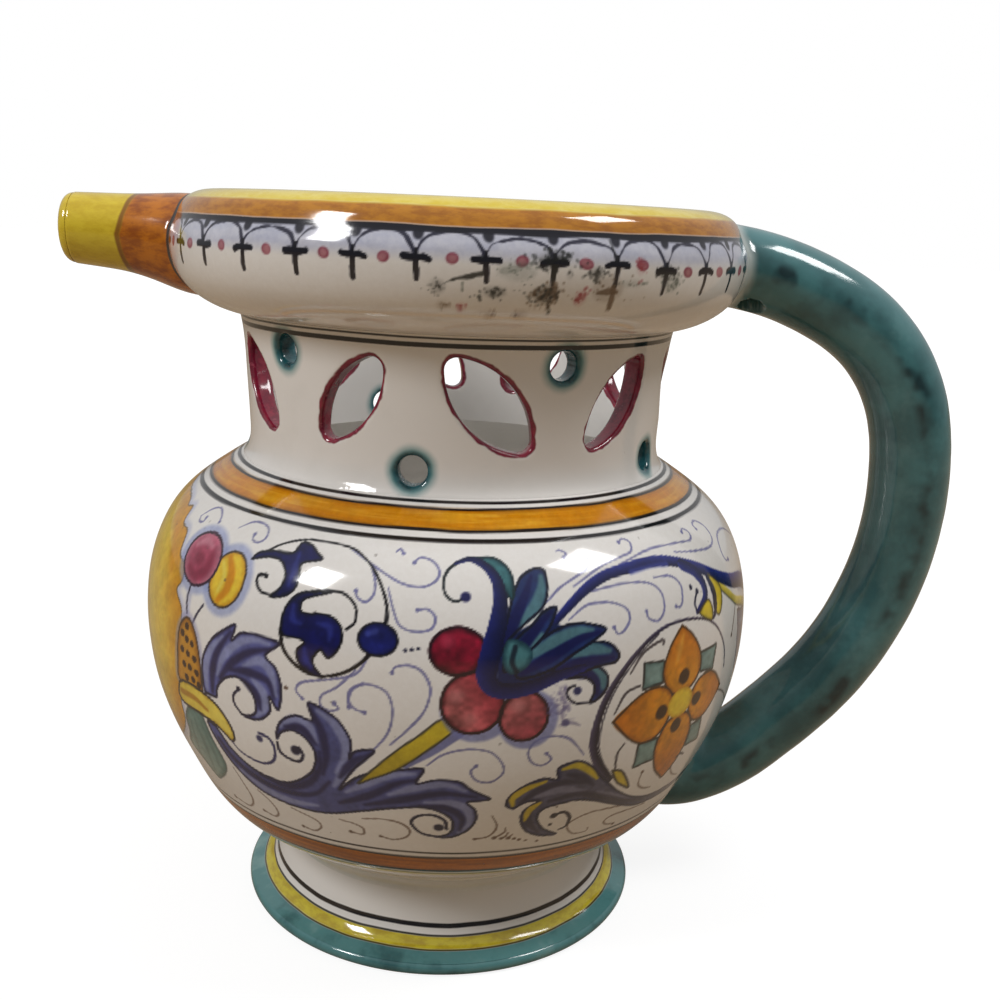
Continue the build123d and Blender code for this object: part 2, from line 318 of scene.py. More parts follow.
def paint_cartouche(canvas):
    """The plain yellow shield under the spout, with its scalloped edge."""
    lobes = (
        (-97.4, 63), (-86, 60.5), (-76, 59.4), (-72.5, 58), (-69.5, 58.4), (-67.6, 55), (-63.4, 54),
        (-61.5, 49.6), (-58, 48.4), (-57.2, 45.4), (-58.4, 43.2), (-55.4, 40.4), (-55, 37), (-55.3, 33),
        (-54.2, 29.6), (-54.6, 25.7), (-57.2, 21), (-58, 16), (-62, 11.5), (-67, 8.2), (-74, 4), (-84, 0.8),
        (-97.4, -0.5),
    )
    outline = [(-110, 63)] + list(lobes) + [(-110, -0.5)]
    canvas.stroke(lobes, 2.6, WASH, 0.7, soft=1.6)
    canvas.fill(outline, (224, 190, 62), pool=(208, 146, 28), pool_width=9, mottle=0.09)
    for line in (((-104, 52), (-90, 50), (-78, 44), (-72, 32), (-74, 18), (-84, 10)),
            ((-100, 60), (-84, 55), (-70, 50))):
        canvas.stroke(line, (4, 7, 4), LEMON, 0.35, soft=4)
    canvas.stroke(((-75, 55), (-68, 52), (-63, 46)), 2.2, (214, 124, 44), 0.25, soft=2)
    canvas.outline(lobes, 0.42, (96, 78, 44), 0.85, closed=False)


def paint_fruit(canvas):
    """The plum and the golden fruit beside the shield, the seeded pod below them and the horn-shaped leaf."""
    plum = canvas.ellipse((-53.2, 51), (5.9, 5.3))
    gold = canvas.ellipse((-43.9, 49.1), (4.5, 5.4), -8)
    for shape in (plum, gold):
        canvas.outline(shape, 3.4, (140, 152, 200), 0.62, soft=1.3)
    canvas.stroke(((-53.6, 46), (-53.2, 40)), 1.8, WASH, 0.7, soft=1)
    for stem in (((-53.6, 45.6), (-53.9, 43), (-53.2, 40.1)), ((-48.4, 43), (-49.8, 41), (-50.8, 39))):
        canvas.stroke(stem, 0.55, (52, 52, 74))
    canvas.fill(gold, (226, 192, 52), pool=(206, 150, 30), pool_width=1.4)
    canvas.stroke(((-45, 53), (-43.2, 50.4), (-43.2, 47.2), (-44.8, 45)), (1.2, 2.2, 1.2), ORANGE, 0.85,
        soft=0.9)
    canvas.stroke(((-46.4, 52), (-44.8, 49.4), (-45.4, 46.4)), (0.6, 1, 0.6), LEMON, 0.8, soft=0.7)
    canvas.outline(gold, 0.5, (60, 50, 40), 0.9)
    canvas.fill(plum, (164, 66, 92), pool=(186, 108, 128), pool_width=2.4, mottle=0.14)
    canvas.stroke(((-56, 48.4), (-53.5, 47.4), (-50.6, 49.2), (-50.4, 52)), (1.6, 2.6, 1.6), (130, 34, 60),
        0.7, soft=1.6)
    canvas.stroke(((-56.6, 53), (-54, 54.4), (-51.4, 53.8)), (1, 1.8, 1), (206, 146, 160), 0.6, soft=1.2)
    canvas.dot((-53.6, 50.8), 1.4, (112, 24, 48), 0.6, soft=1.6)
    canvas.outline(plum, 0.6, (52, 26, 44))
    pod = ((-56.2, 30), (-55.6, 36), (-54, 38.7), (-52, 39.2), (-49.6, 36.6), (-48.2, 32), (-48, 28),
        (-48.6, 25.6), (-56, 25.4))
    canvas.outline(pod, 2.2, (150, 150, 186), 0.6, soft=1.2)
    canvas.fill(pod, (196, 138, 36), pool=(150, 96, 28), pool_width=1.6)
    for x, y in ((-52.7, 37.6), (-54.2, 35.9), (-52.5, 35.1), (-50.8, 34.7), (-54.2, 32.6), (-52.1, 32.3),
            (-50, 31.9),
                 (-53.6, 29.8), (-51.7, 29.7), (-49.4, 29.3), (-53.1, 27.2), (-50.8, 27.4), (-49, 26.8)):
        canvas.dot((x, y), 0.72, (56, 34, 22), 0.95)
    canvas.outline(pod, 0.5, (64, 46, 34), 0.9)
    feather = ((-54.4, 20.4), (-50, 20.9), (-47.8, 15.4), (-46.2, 10.1), (-48.1, 6.5), (-51.7, 3.6),
        (-53.9, 2.9), (-57, 6), (-60.5, 9), (-58, 13), (-57, 17))
    canvas.fill(feather, (96, 130, 124), slope=((128, 156, 150), -0.6, -1), pool=(74, 108, 104),
        pool_width=1.6)
    for vein in (((-53, 18), (-52, 12), (-53, 5)), ((-50.5, 18), (-49.2, 12), (-49.6, 8)),
            ((-55, 17), (-56, 12), (-57, 8))):
        canvas.stroke(vein, (0.6, 1.4, 0.6), (70, 102, 100), 0.45, soft=0.9)
    canvas.outline(feather, 0.4, (70, 84, 84), 0.7)
    horn = ((-56.5, 25), (-54.4, 25.9), (-50, 26), (-45.6, 25.1), (-42.8, 23.4), (-40.8, 20.7),
        (-40.5, 18.4), (-41.4, 17.5), (-43, 18.6), (-45.6, 19.9), (-50, 20.5), (-55.5, 20.6), (-57.5, 22))
    canvas.fill(horn, (222, 194, 66), slope=((236, 216, 96), 1, 0), pool=(196, 160, 48), pool_width=1)
    canvas.stroke(((-56, 23.2), (-51, 23.4), (-47.2, 22.2)), (1.4, 1.3, 0.8), (176, 124, 32), 0.9, soft=0.5)
    canvas.outline(horn, 0.6, (42, 36, 34), 0.92)


def paint_leaf(canvas, outline, lights, darks, tint, light=LAVENDER, dark=(28, 28, 70)):
    """A brushed acanthus leaf: body colour, pale and dark strokes along its lobes, and its pen line."""
    canvas.fill(outline, tint, pool=(46, 48, 94), pool_width=0.8, mottle=0.14)
    for path in lights:
        canvas.stroke(path, (0.7, 1.9, 1.6, 0.7), light, 0.88, soft=0.9)
    for path in darks:
        canvas.stroke(path, (0.8, 1.7, 1.4, 0.6), dark, 0.85, soft=0.9)
    canvas.outline(outline, 0.5, INK)


def paint_acanthus_left(canvas):
    """The blue leaves at the left: the high curl and the long branch with its spiral."""
    curl = (
        (-47.2, 26.2), (-47.5, 31.5), (-46.4, 35), (-43.9, 38.4), (-39.3, 41.6), (-39.7, 38.6),
        (-37.8, 40.4), (-34.4, 40.9), (-29.4, 40.4), (-31.9, 37.6), (-29.7, 35.7), (-28.5, 32.3),
        (-29.2, 27.9), (-31, 30), (-30.9, 27.3), (-32.8, 25.1), (-35.6, 24.3), (-37.8, 24.8), (-35.8, 24.9),
        (-34.2, 26), (-34.1, 28.4), (-35.6, 30.9), (-38.3, 31.9), (-41.1, 30.9), (-43.3, 28.4),
        (-43.9, 26.2),
    )
    paint_leaf(
        canvas, curl,
        lights=(
            ((-46.3, 27), (-46.4, 31.5), (-45, 35.4), (-42, 38.6)),
            ((-43.2, 31), (-41.6, 35), (-38, 38.6), (-34.4, 40), (-31.4, 39.8)),
            ((-36.6, 34.6), (-33, 36.4), (-30.6, 34.6), (-29.6, 30.6)),
            ((-34.6, 32.6), (-32.4, 30.6), (-32, 27.6), (-34, 25.4)),
        ),
        darks=(
            ((-44.8, 27), (-44.4, 31.5), (-43.2, 35.4), (-40.2, 40)),
            ((-42.4, 30.6), (-39.4, 34.4), (-35.4, 37.4), (-31, 39)),
            ((-39.6, 33), (-35.8, 33.6), (-31.4, 33), (-30, 30)),
            ((-36.8, 31.8), (-33.8, 29.8), (-33, 27)),
        ),
        tint=(84, 90, 152),
    )
    canvas.stroke(((-37.6, 24.9), (-39, 26.2), (-39.2, 28), (-37.8, 29.8)), (0.5, 0.6, 0.5), INK)
    canvas.dot((-37.9, 29.7), 0.5, INK)
    branch = (
        (-45.3, 19.3), (-47.9, 19.3), (-44.6, 12.9), (-41.1, 9), (-37.2, 6.5), (-32.2, 5.4), (-26.7, 5.1),
        (-21.1, 5.9), (-15, 8), (-8.9, 9.8), (-4.6, 10.6), (-1.1, 10.1), (1.7, 7.9), (2.2, 5.1), (1.3, 3.2),
        (-0.6, 2.3), (2.2, 2.3), (5, 4.3), (6.4, 7.3), (6.1, 10.1), (4.6, 12.3), (8.6, 12.9), (5, 15.4),
        (2.8, 17.3), (-1.1, 17.6), (-4.6, 16.6), (-3.3, 20), (-7.8, 19.3), (-11.7, 18.4), (-15.6, 16.2),
        (-18.6, 13), (-15.5, 18.4), (-11.7, 22.9), (-15, 22.4), (-16.2, 20.6), (-15.7, 24), (-16.9, 26.8),
        (-18.9, 29), (-23.2, 30.7), (-22.6, 27.3), (-25.6, 27.6), (-28.3, 26.2), (-29.7, 24), (-30, 21.8),
        (-28.9, 23.4), (-26.7, 24.3), (-24.2, 23.4), (-22.5, 20.7), (-22.8, 17.9), (-24.4, 15.1),
        (-28.9, 11.9), (-33.3, 11.5), (-37.8, 12.6), (-41.7, 15.1),
    )
    paint_leaf(
        canvas, branch,
        lights=(
            ((-41.5, 10.4), (-36, 7.6), (-30, 6.6), (-24, 7.2)),
            ((-29, 24.6), (-26.4, 26.6), (-23.4, 26.2), (-22, 23)),
            ((-21.6, 29.4), (-18.6, 27.4), (-16.8, 24), (-17, 20.6), (-18.8, 17)),
            ((-19.6, 13.6), (-16.8, 17.8), (-13.4, 21.4)),
            ((-17.4, 12.6), (-12.6, 16), (-8.4, 18.2), (-4.8, 18.8)),
            ((-9.4, 13.4), (-4.6, 15.6), (0.4, 16.6), (4, 15.2)),
            ((-3, 12), (1.4, 12), (4.6, 10.4), (5.2, 6.4), (3.4, 3.8)),
        ),
        darks=(
            ((-45.4, 16.6), (-42, 12.6), (-36.4, 9.8), (-30, 9), (-24, 10.4), (-20.4, 14.4)),
            ((-36, 11.4), (-30, 10.6), (-25, 12.8), (-22, 17), (-21.6, 21)),
            ((-28, 24.8), (-24.8, 25.2), (-22.2, 22.6)),
            ((-22.8, 29.4), (-21, 25.4), (-20.4, 20.6), (-21.4, 16)),
            ((-18.2, 16), (-15.8, 19.6), (-12.4, 22.2)),
            ((-19, 9.4), (-13, 12.6), (-8, 16.2), (-4.4, 17.4)),
            ((-14, 10), (-7, 12.4), (0, 14.4), (6, 13.6)),
            ((-4, 11), (1, 10.6), (3.8, 8), (3.6, 4.4)),
        ),
        tint=(74, 80, 134),
    )
    canvas.stroke(((-30, 20.9), (-29.7, 19), (-27.8, 17.9), (-25.8, 17.9), (-24.9, 19.6), (-25.6, 21)),
        (0.6, 0.7, 0.6), INK)
    canvas.dot((-26.3, 20.2), 0.95, INK, soft=0.5)
    canvas.stroke(((-0.6, 2.3), (-3.9, 3.4), (-5.6, 6.2), (-4.4, 8.2), (-1.7, 8.7), (0.6, 7.3), (1.1, 4.8)),
        (0.6, 0.7, 0.7), INK)
    canvas.dot((-0.4, 5.2), 1.0, INK, soft=0.5)
    canvas.stroke(
        ((-41.4, 17.5), (-40, 16), (-37.8, 15.1), (-34.4, 14.8), (-31.7, 16.2), (-30.8, 19), (-31.7, 21.2),
            (-33.9, 21.8)),
        (0.45, 0.6, 0.7), (54, 54, 96),
    )
    canvas.dot((-34, 20.6), 0.7, (54, 54, 96), soft=0.5)


def paint_navy_scroll(canvas):
    """The dark scroll above the left leaves, with its ring and its cobalt berry."""
    ring = (
        (-39, 54.3), (-34, 58.3), (-28, 60.2), (-20, 59.8), (-16, 57.8), (-13.4, 55.2), (-11.5, 52),
        (-10.5, 49), (-10.6, 46), (-11.7, 43), (-13.3, 40.4), (-15.6, 38.2), (-18.3, 36.7), (-21.4, 36),
        (-24.2, 36.4), (-26.9, 38), (-28.6, 40), (-29.4, 43),
    )
    canvas.stroke(ring, (0.5, 0.45, 0.5, 0.7, 0.6, 0.8), BLACK)
    leaf = (
        (-39.6, 53.9), (-38.6, 55.6), (-35, 56.6), (-31.1, 56.9), (-30.2, 59.2), (-28, 59.2), (-26.1, 57.9),
        (-24.5, 56.5), (-28.2, 55.2), (-27.8, 52.3), (-28.3, 50.1), (-30, 48.7), (-32.9, 48.2),
        (-31.2, 50.1), (-30.8, 52.3), (-31.7, 54), (-33.5, 55.1), (-36.1, 55),
    )
    canvas.fill(leaf, NAVY, pool=(12, 14, 52), pool_width=0.8, mottle=0.2)
    canvas.stroke(((-29.6, 57), (-29.4, 54), (-29.6, 51)), (0.6, 1.2, 0.6), (48, 58, 140), 0.6, soft=0.8)
    canvas.outline(leaf, 0.35, BLACK)
    canvas.stroke(((-32.5, 48.4), (-35, 48.7), (-36.5, 50.1), (-36.5, 51.5), (-35, 51.8)), (0.5, 0.6, 0.7),
        BLACK)
    canvas.dot((-34.9, 51.6), 0.5, BLACK)
    scroll = (
        (-20.6, 51), (-24.7, 50.6), (-27.4, 49.6), (-29, 47.3), (-29.5, 44.6), (-28.8, 42.1), (-25.8, 42),
        (-24.6, 41.4), (-25.9, 39.8), (-25.2, 37.6), (-23.2, 36.2), (-20.6, 35.8), (-22.2, 37.4),
        (-22.6, 39), (-21.4, 40.6), (-20, 39.4), (-18.6, 40.6), (-17.8, 42.9), (-18.2, 45.2), (-19.8, 46.6),
        (-22.2, 47), (-24.6, 46.6), (-26, 47), (-25.6, 49),
    )
    canvas.fill(scroll, NAVY, pool=(12, 14, 52), pool_width=0.9, mottle=0.2)
    for light in (((-27.6, 47.6), (-27.2, 45.2), (-25.6, 44.6)), ((-22.4, 45.2), (-20.2, 44.8), (-20, 42.6)),
                  ((-24.4, 40.4), (-24, 38.6), (-22.8, 37.4))):
        canvas.stroke(light, (0.6, 1.3, 0.6), (52, 62, 150), 0.6, soft=0.9)
    canvas.outline(scroll, 0.35, BLACK)
    canvas.stroke(((-24.4, 50.6), (-21.1, 51.2), (-18.3, 50.9), (-16.1, 49), (-15.8, 46.4), (-17.2, 44.9)),
        (0.6, 0.5, 0.5), BLACK)
    berry = canvas.ellipse((-11.6, 43.8), (3.4, 2.9))
    canvas.fill(berry, (24, 30, 100), pool=(14, 18, 62), pool_width=0.9, mottle=0.3)
    canvas.stroke(((-13.4, 44.6), (-12, 45.2)), 1, (72, 84, 170), 0.6, soft=0.8)
    canvas.outline(berry, 0.4, BLACK, 0.85)


def paint_berries(canvas):
    """Three wine-red berries, the yellow stalk below them and the blue shade beside both."""
    canvas.stroke(((2.6, 27.6), (-1, 24.6), (-6.4, 20.3)), (1.7, 1.7, 1.1), (104, 108, 158), 0.9, soft=0.4)
    stalk = ((1.6, 28), (-0.4, 30.2), (-4, 27), (-8, 23.4), (-12, 19), (-15, 15.2), (-12.6, 16.6),
        (-9.4, 18.4), (-6.6, 20.4), (-2.6, 24))
    canvas.fill(stalk, (206, 184, 40), slope=((170, 148, 34), -0.7, -0.7), pool=(150, 130, 30),
        pool_width=0.6)
    canvas.outline(stalk, 0.4, (54, 52, 40), 0.85)
    left = canvas.ellipse((1.8, 42.5), (4.7, 4.2))
    middle = canvas.ellipse((4.5, 33.2), (5.2, 5.7))
    right = canvas.ellipse((13.2, 30.4), (4.2, 4.7))
    for shape in (middle, right):
        canvas.outline(shape + np.array((0.8, -0.7)), 2.0, (112, 118, 172), 0.75, soft=0.8)
    canvas.fill(left, (134, 20, 46), pool=(84, 10, 30), pool_width=1.3, mottle=0.4)
    canvas.fill(middle, (140, 40, 54), slope=((186, 98, 100), -1, -0.6), pool=(96, 20, 36), pool_width=1.0,
        mottle=0.4)
    canvas.fill(right, (172, 90, 92), slope=((146, 60, 70), 0.6, -1), pool=(118, 42, 52), pool_width=1.0,
        mottle=0.4)
    for centre, colour in (((0, 44.2), (182, 64, 88)), ((1.8, 34.6), (212, 138, 138)),
            ((4.2, 30.4), (204, 124, 124)), ((12, 32.6), (214, 140, 140)), ((7, 35.6), WINE)):
        canvas.dot(centre, 1.1, colour, 0.55, soft=1.8)
    for shape in (left, middle, right):
        canvas.outline(shape, 0.55, (44, 16, 26))


def paint_tulip(canvas):
    """The blue and teal flower: its hooked sepal, five petals and the small curl under them."""
    hook = ((2.9, 51.9), (1.1, 51.1), (-0.6, 52.3), (-1.1, 54.6), (-0.3, 56.8), (1.4, 58.3))
    canvas.stroke(hook, (0.5, 0.5, 0.7), (34, 40, 44))
    canvas.dot((2.9, 51.9), 0.9, (30, 30, 84), soft=0.5)
    petals = (
        (((11.1, 51.8), (12.8, 55.1), (15.3, 56.8), (17.7, 56.6), (17.8, 53.4), (16.7, 50.1), (13.3, 47.3),
            (10.4, 44.6), (8.6, 42)),
         ((9.6, 43.4), (11.6, 48.4), (13.6, 52.4), (15, 55.6)),
         ((12, 47), (14.8, 49.6), (16.6, 53), (16.9, 55.4))),
        (((9.4, 41.4), (12, 45), (14.4, 46.9), (16.7, 49.2), (19, 49.7), (17.8, 46.8), (15.6, 44), (12, 41),
            (9.6, 38.8)),
         ((10, 40.6), (13.4, 44.2), (16, 47.2), (18, 49)), ((10.6, 39.8), (13.4, 42), (16, 45))),
        (((11, 40.6), (14.6, 43.4), (18.9, 45.9), (22.2, 46.6), (25.4, 46.1), (28.2, 45), (26, 43.4),
            (22, 41.4), (17, 38.6), (12, 37.6)),
         ((12.6, 38.6), (18, 41.4), (23, 43.8), (27, 44.6)), ((14, 41.4), (18.6, 44), (22.6, 45.2),
             (25.4, 45))),
        (((17, 39), (20.4, 41.6), (23.3, 42.5), (26.1, 42.9), (28.9, 42.2), (30.6, 40.1), (29.7, 38.7),
            (26.1, 38.4), (21.7, 37.6)),
         ((19, 38.6), (23, 39.4), (27, 39.6), (29.4, 39.6)), ((21.6, 41), (25, 41.8), (28.6, 41))),
        (((18.6, 38), (22, 38.4), (25.6, 38.6), (28, 36.8), (28.3, 34.6), (26.9, 32.6), (25, 31.8),
            (25.7, 34), (25.2, 35.7), (23.3, 36.8), (20, 37)),
         ((20, 37.6), (24, 37.4), (26, 35.6), (26.2, 33.2)), ((24.6, 37.8), (27, 36.6), (27.4, 34.4))),
    )
    canvas.fill(((8.6, 42), (10.6, 45), (16, 47.4), (21, 45.6), (23, 41.6), (20, 37.8), (14, 36.4),
        (8.8, 37)), (20, 32, 78), soft=0.5)
    for outline, dark, pale in reversed(petals):
        canvas.fill(outline, (28, 46, 96), pool=(14, 26, 60), pool_width=0.6, mottle=0.16)
        canvas.stroke(pale, (1.0, 2.3, 2.1, 1.0), (80, 122, 132), 0.95, soft=0.8)
        canvas.stroke(dark, (1.2, 2.2, 1.6, 0.7), (15, 19, 76), 0.92, soft=0.6)
        canvas.outline(outline, 0.5, (14, 18, 40))
    heart = ((10, 44.4), (12.8, 44), (14.4, 41.8), (13.2, 39.4), (10.6, 38.4), (9.2, 40.6))
    canvas.fill(heart, (70, 120, 126), pool=(28, 62, 74), pool_width=1.2)
    canvas.stroke(((11.4, 43.2), (10.8, 40.6), (11.6, 38.8)), 0.9, (16, 26, 40), 0.85, soft=0.5)
    sepal = ((3.9, 59.1), (7.8, 59.4), (10.3, 57.9), (11.5, 55.1), (11.2, 51.6), (9.7, 53.2), (7.8, 56.8),
        (5.6, 58.4))
    canvas.fill(sepal, (58, 114, 120), pool=(26, 68, 78), pool_width=0.9, mottle=0.15)
    canvas.outline(sepal, 0.5, (18, 44, 50))
    stem = ((1.1, 58.2), (3.9, 59), (6.7, 57.6), (8.5, 55), (9, 51.5), (8.4, 47.3), (7.4, 43), (6.7, 39.6),
        (6.8, 37.4), (8.2, 35.8), (11, 35.4), (14.5, 36), (19, 37.6), (23.4, 38.6))
    canvas.stroke(stem, (0.7, 1.6, 2.2, 2.8, 3.4, 3.6, 3.0, 2.6, 2.2, 1.4), (16, 20, 74),
        sides=((12, 16, 50), (26, 34, 106)))
    canvas.stroke(((25, 31.8), (22.2, 32.1), (20.6, 33.7), (20.8, 35.1), (21.9, 35.4)), (0.5, 0.5, 0.6),
        (26, 28, 48))
    canvas.dot((22.5, 34.4), 0.7, (44, 48, 96), soft=0.4)


def paint_branch(canvas):
    """The navy branch that sweeps over to the handle, with its hook and yellow shoots."""
    line = (
        (17.6, 46), (20, 48.5), (25, 52.3), (30, 54.5), (36, 55.3), (40, 55.6), (45, 55.3), (50, 54),
        (55, 52), (60, 49.5), (65, 47.2), (70, 45.4), (76, 44), (84, 41), (92, 38), (104, 34),
    )
    strip = ((58, 50.4), (62, 46.8), (66, 43.9), (70, 41.4), (76, 39.4), (84, 36.4), (92, 33.2), (104, 29))
    canvas.stroke(((74, 44), (84, 41.6), (96, 36)), (3, 5, 5), (118, 122, 150), 0.7, soft=2.4)
    canvas.stroke(strip, (1.0, 1.5, 1.8, 2, 2, 2), YELLOW, sides=(LEMON, (178, 160, 44)))
    canvas.stroke([(x, y - 1.1) for x, y in strip], (0.4, 0.5, 0.6), (70, 66, 40), 0.8)
    canvas.stroke(line, (1.3, 2.0, 2.2, 2.2, 2.4, 3.2, 3.6, 3.2, 3.0), NAVY,
        sides=((36, 46, 134), (12, 14, 56)))
    canvas.stroke(((36, 54.4), (41, 54.8), (46, 54.4)), 0.9, (52, 62, 150), 0.7, soft=0.7)
    canvas.stroke(((50.5, 53.4), (53.6, 51.4), (55.4, 48.4), (55, 46), (53, 44.7), (51.4, 43.8)),
        (2.6, 2.4, 1.8, 1.0), NAVY,
                  sides=((14, 16, 60), (34, 44, 128)))
    shoot = ((52, 43.4), (54, 44.7), (56, 45.2), (57, 43.4), (56.4, 41.2), (54, 42))
    canvas.fill(shoot, YELLOW, pool=(170, 150, 40), pool_width=0.8)
    bud = ((58, 49.8), (60, 48.6), (62, 46.4), (61.6, 43.4), (59.8, 41.3), (58.2, 42.4), (58.8, 45.6))
    canvas.fill(bud, YELLOW, pool=(170, 150, 40), pool_width=1)
    canvas.stroke(((57.4, 49.6), (58.6, 46), (58, 42.4), (56.8, 41.2)), (1.0, 1.8, 1.6, 0.6), (24, 26, 62))
    for shape in (shoot, bud):
        canvas.outline(shape, 0.4, (70, 64, 36), 0.9)
    canvas.stroke(((51.4, 43.8), (51, 45.6), (52.3, 47.5)), (0.5, 0.6, 0.6), INK)
    canvas.dot((52.5, 47.6), 0.55, INK)
    canvas.dot((50.8, 48.8), 0.5, INK)


def paint_quatrefoil(canvas):
    """The four-petalled flower in its ring, with pale squares between the petals."""
    ring = (
        (31.7, 13.6), (28.3, 18.4), (26.7, 22.3), (26.6, 26.2), (27.4, 30.1), (28.9, 33.4), (31.1, 36.4),
        (34.4, 39.6), (38.9, 42.3), (43.9, 43.4), (49.4, 43), (53.9, 41.8), (57.2, 40), (59.8, 37.3),
        (62, 33.6), (62.8, 29.4),
    )
    canvas.stroke(ring, (1.7, 1.7, 1.6, 1.4, 1.1, 0.8, 0.6, 0.55, 0.5, 0.5, 0.45), (58, 52, 76),
        sides=((84, 76, 104), (26, 22, 40)))
    canvas.stroke([(x * 0.985 + 1.5, y * 0.99 + 0.3) for x, y in ring[:9]], 0.35, (30, 28, 44), 0.8)
    squares = (
        ((36.1, 37.4), (40.9, 36.8), (40.8, 32.6), (36, 32.3)),
        ((51.8, 35.8), (57.9, 35.8), (56.9, 30.9), (52.1, 31.8)),
        ((36.9, 20.6), (37.2, 15), (42.6, 15.6), (41.8, 20.6)),
        ((52.4, 19.9), (56.3, 20.2), (58.2, 14.4), (52.7, 15)),
    )
    for corners in squares:
        square = canvas.straight_sided(corners)
        canvas.fill(square, (124, 152, 148), pool=(88, 118, 116), pool_width=1.3, mottle=0.12)
        canvas.outline(square, 0.5, (38, 42, 44), 0.9)
    petals = (
        ((46.2, 42.4), (43.2, 39.8), (41.2, 36.4), (41, 33.4), (43, 30), (46, 29), (49.6, 29.8),
            (51.9, 32.6), (51.6, 36.2), (49.2, 40)),
        ((30, 27), (34.4, 30.6), (38.4, 32), (42, 31.2), (44, 28.6), (43.8, 24.8), (41.6, 21.4), (38, 20.6),
            (34.4, 22.4)),
        ((62.2, 25.6), (58.6, 29.4), (55.4, 30.8), (51.8, 30.2), (49.6, 27.6), (49.8, 24.2), (52.4, 21.2),
            (56.2, 20.6), (59.6, 22.6)),
        ((48.8, 8), (44.4, 12), (42.2, 16.4), (42, 20), (43.8, 23.6), (47, 24.4), (50.2, 23.4), (52.2, 19.6),
            (52.2, 14.6), (51, 10.6)),
    )
    for petal, way in zip(petals, ((0, 1), (-1, 0), (1, 0), (0, -1))):
        canvas.fill(petal, (212, 140, 22), slope=((194, 112, 10), *way), pool=(172, 98, 8), pool_width=1.3,
            mottle=0.16)
        canvas.outline(petal, 0.5, (66, 44, 22), 0.92)
    canvas.stroke(((44.6, 36), (45.4, 38.6), (46.4, 40.6)), (0.8, 1.6, 0.6), (228, 168, 70), 0.6, soft=1.4)
    canvas.fill(canvas.ellipse((46.6, 26.9), (3.7, 3.1)), (228, 196, 52), pool=(206, 158, 32), pool_width=1)
    for x, y in ((46.8, 32.3), (41.4, 26.3), (51.9, 26.1), (46.5, 22)):
        canvas.dot((x, y), 1.55, (58, 34, 16), 0.95, soft=0.6)
    for mark in (((33, 36), (36, 39.4), (40.6, 40.9), (40.8, 40)), ((30.1, 28.6), (32.2, 32.3), (35.3, 33.2)),
                 ((33.4, 21.7), (32.2, 19.6), (32.6, 16.2)), ((50.8, 12.6), (52.4, 13), (54, 12.2))):
        canvas.stroke(mark, (0.4, 0.6, 0.5), (52, 46, 52), 0.85)


def paint_acanthus_right(canvas):
    """The leaf at the lower right with yellow edges, and the branch that runs from it to the handle."""
    body = (
        (13.2, 9.9), (11.7, 11), (12.2, 13.4), (14.4, 15.6), (17.8, 17), (20.6, 16.4), (20.4, 19),
        (23.9, 19.9), (26.7, 18.5), (29.6, 15.2), (32.4, 12.4), (35.4, 9.6), (39, 7), (43, 5), (48, 3.6),
        (56, 3), (66, 3.4), (66, 1.8), (56, 1.2), (49, 1.6), (43.9, 2.3), (38.9, 4.3), (34.4, 6.5),
        (30.6, 8.4), (26.1, 9.9), (22.2, 9.7), (19.4, 9), (18.3, 7.3), (18.9, 5.1), (20.8, 2.6), (23.9, 0.5),
        (21.1, 0.6), (18.3, 1.8), (16.1, 4), (15.1, 6.8), (15.5, 9.4), (17.8, 11.4), (15.4, 11.4),
    )
    paint_leaf(
        canvas, body,
        lights=(((17, 12.6), (22, 13.6), (27, 12)), ((30, 11), (36, 7.6), (42, 4.6)),
            ((17.2, 4.8), (19.2, 2.4))),
        darks=(
            ((14.4, 11.4), (17.4, 14.2), (22, 15.4), (26.4, 14.4)),
            ((20, 11), (26, 11.6), (32, 9), (38, 6), (46, 3)),
            ((16.6, 8.6), (16.8, 5.6), (19.4, 2.2)), ((22.6, 17.2), (26, 15.6), (28.6, 13.2)),
        ),
        tint=(82, 82, 108), light=(128, 128, 154), dark=(46, 42, 66),
    )
    for edge in (((13, 10.8), (12.8, 12.8), (15, 14.9), (18.4, 16.2)),
            ((21.4, 18.6), (24.2, 18.9), (27, 17), (29, 14.8)),
                 ((18.2, 10.8), (16.4, 9), (16, 6.2))):
        canvas.stroke(edge, (0.7, 1.5, 1.3, 0.6), (206, 182, 46), 0.95, soft=0.5)
    bud = ((32, 15.9), (34.3, 15.2), (36.2, 12.9), (38.2, 9.6), (36.4, 10.6), (34, 12.6))
    canvas.fill(bud, (206, 182, 46), pool=(150, 130, 34), pool_width=0.6)
    canvas.outline(bud, 0.5, (52, 46, 36), 0.9)
    canvas.stroke(((22, 6.6), (23.9, 7.1), (25.7, 5.1), (25.6, 2.5), (24.2, 1.8)), (0.7, 0.8, 0.5),
        (44, 40, 52))
    canvas.dot((21.9, 6.5), 0.8, (44, 40, 52), soft=0.4)
    canvas.dot((21.7, 3.9), 0.5, (60, 54, 60))
    leaf = ((70.6, 39), (75, 38), (82, 37), (92, 34.4), (104, 31.4), (104, 28.8), (95, 27.4), (87, 24.6),
        (81, 20.6), (76, 21.6), (72, 26), (71, 32))
    paint_leaf(canvas, leaf, (((72.6, 36), (80, 34), (90, 31.4), (103, 30)),),
        (((73.4, 28), (78, 25.6), (86, 28.6), (98, 29.6)),),
               tint=(92, 100, 132), light=(146, 152, 182), dark=(56, 62, 100))
    flower = ((90, 14), (96, 13.2), (104, 13), (104, -6), (94, -5), (90.6, 3), (88.6, 8))
    canvas.fill(flower, (206, 136, 42), pool=(170, 102, 26), pool_width=1.6)
    canvas.outline(flower, 0.5, (70, 48, 28), 0.85)
    lozenge = ((84, 1.4), (89, 3.8), (93, 1), (90.4, -3.6))
    canvas.fill(canvas.straight_sided(lozenge), (128, 142, 138), pool=(92, 106, 106), pool_width=1)


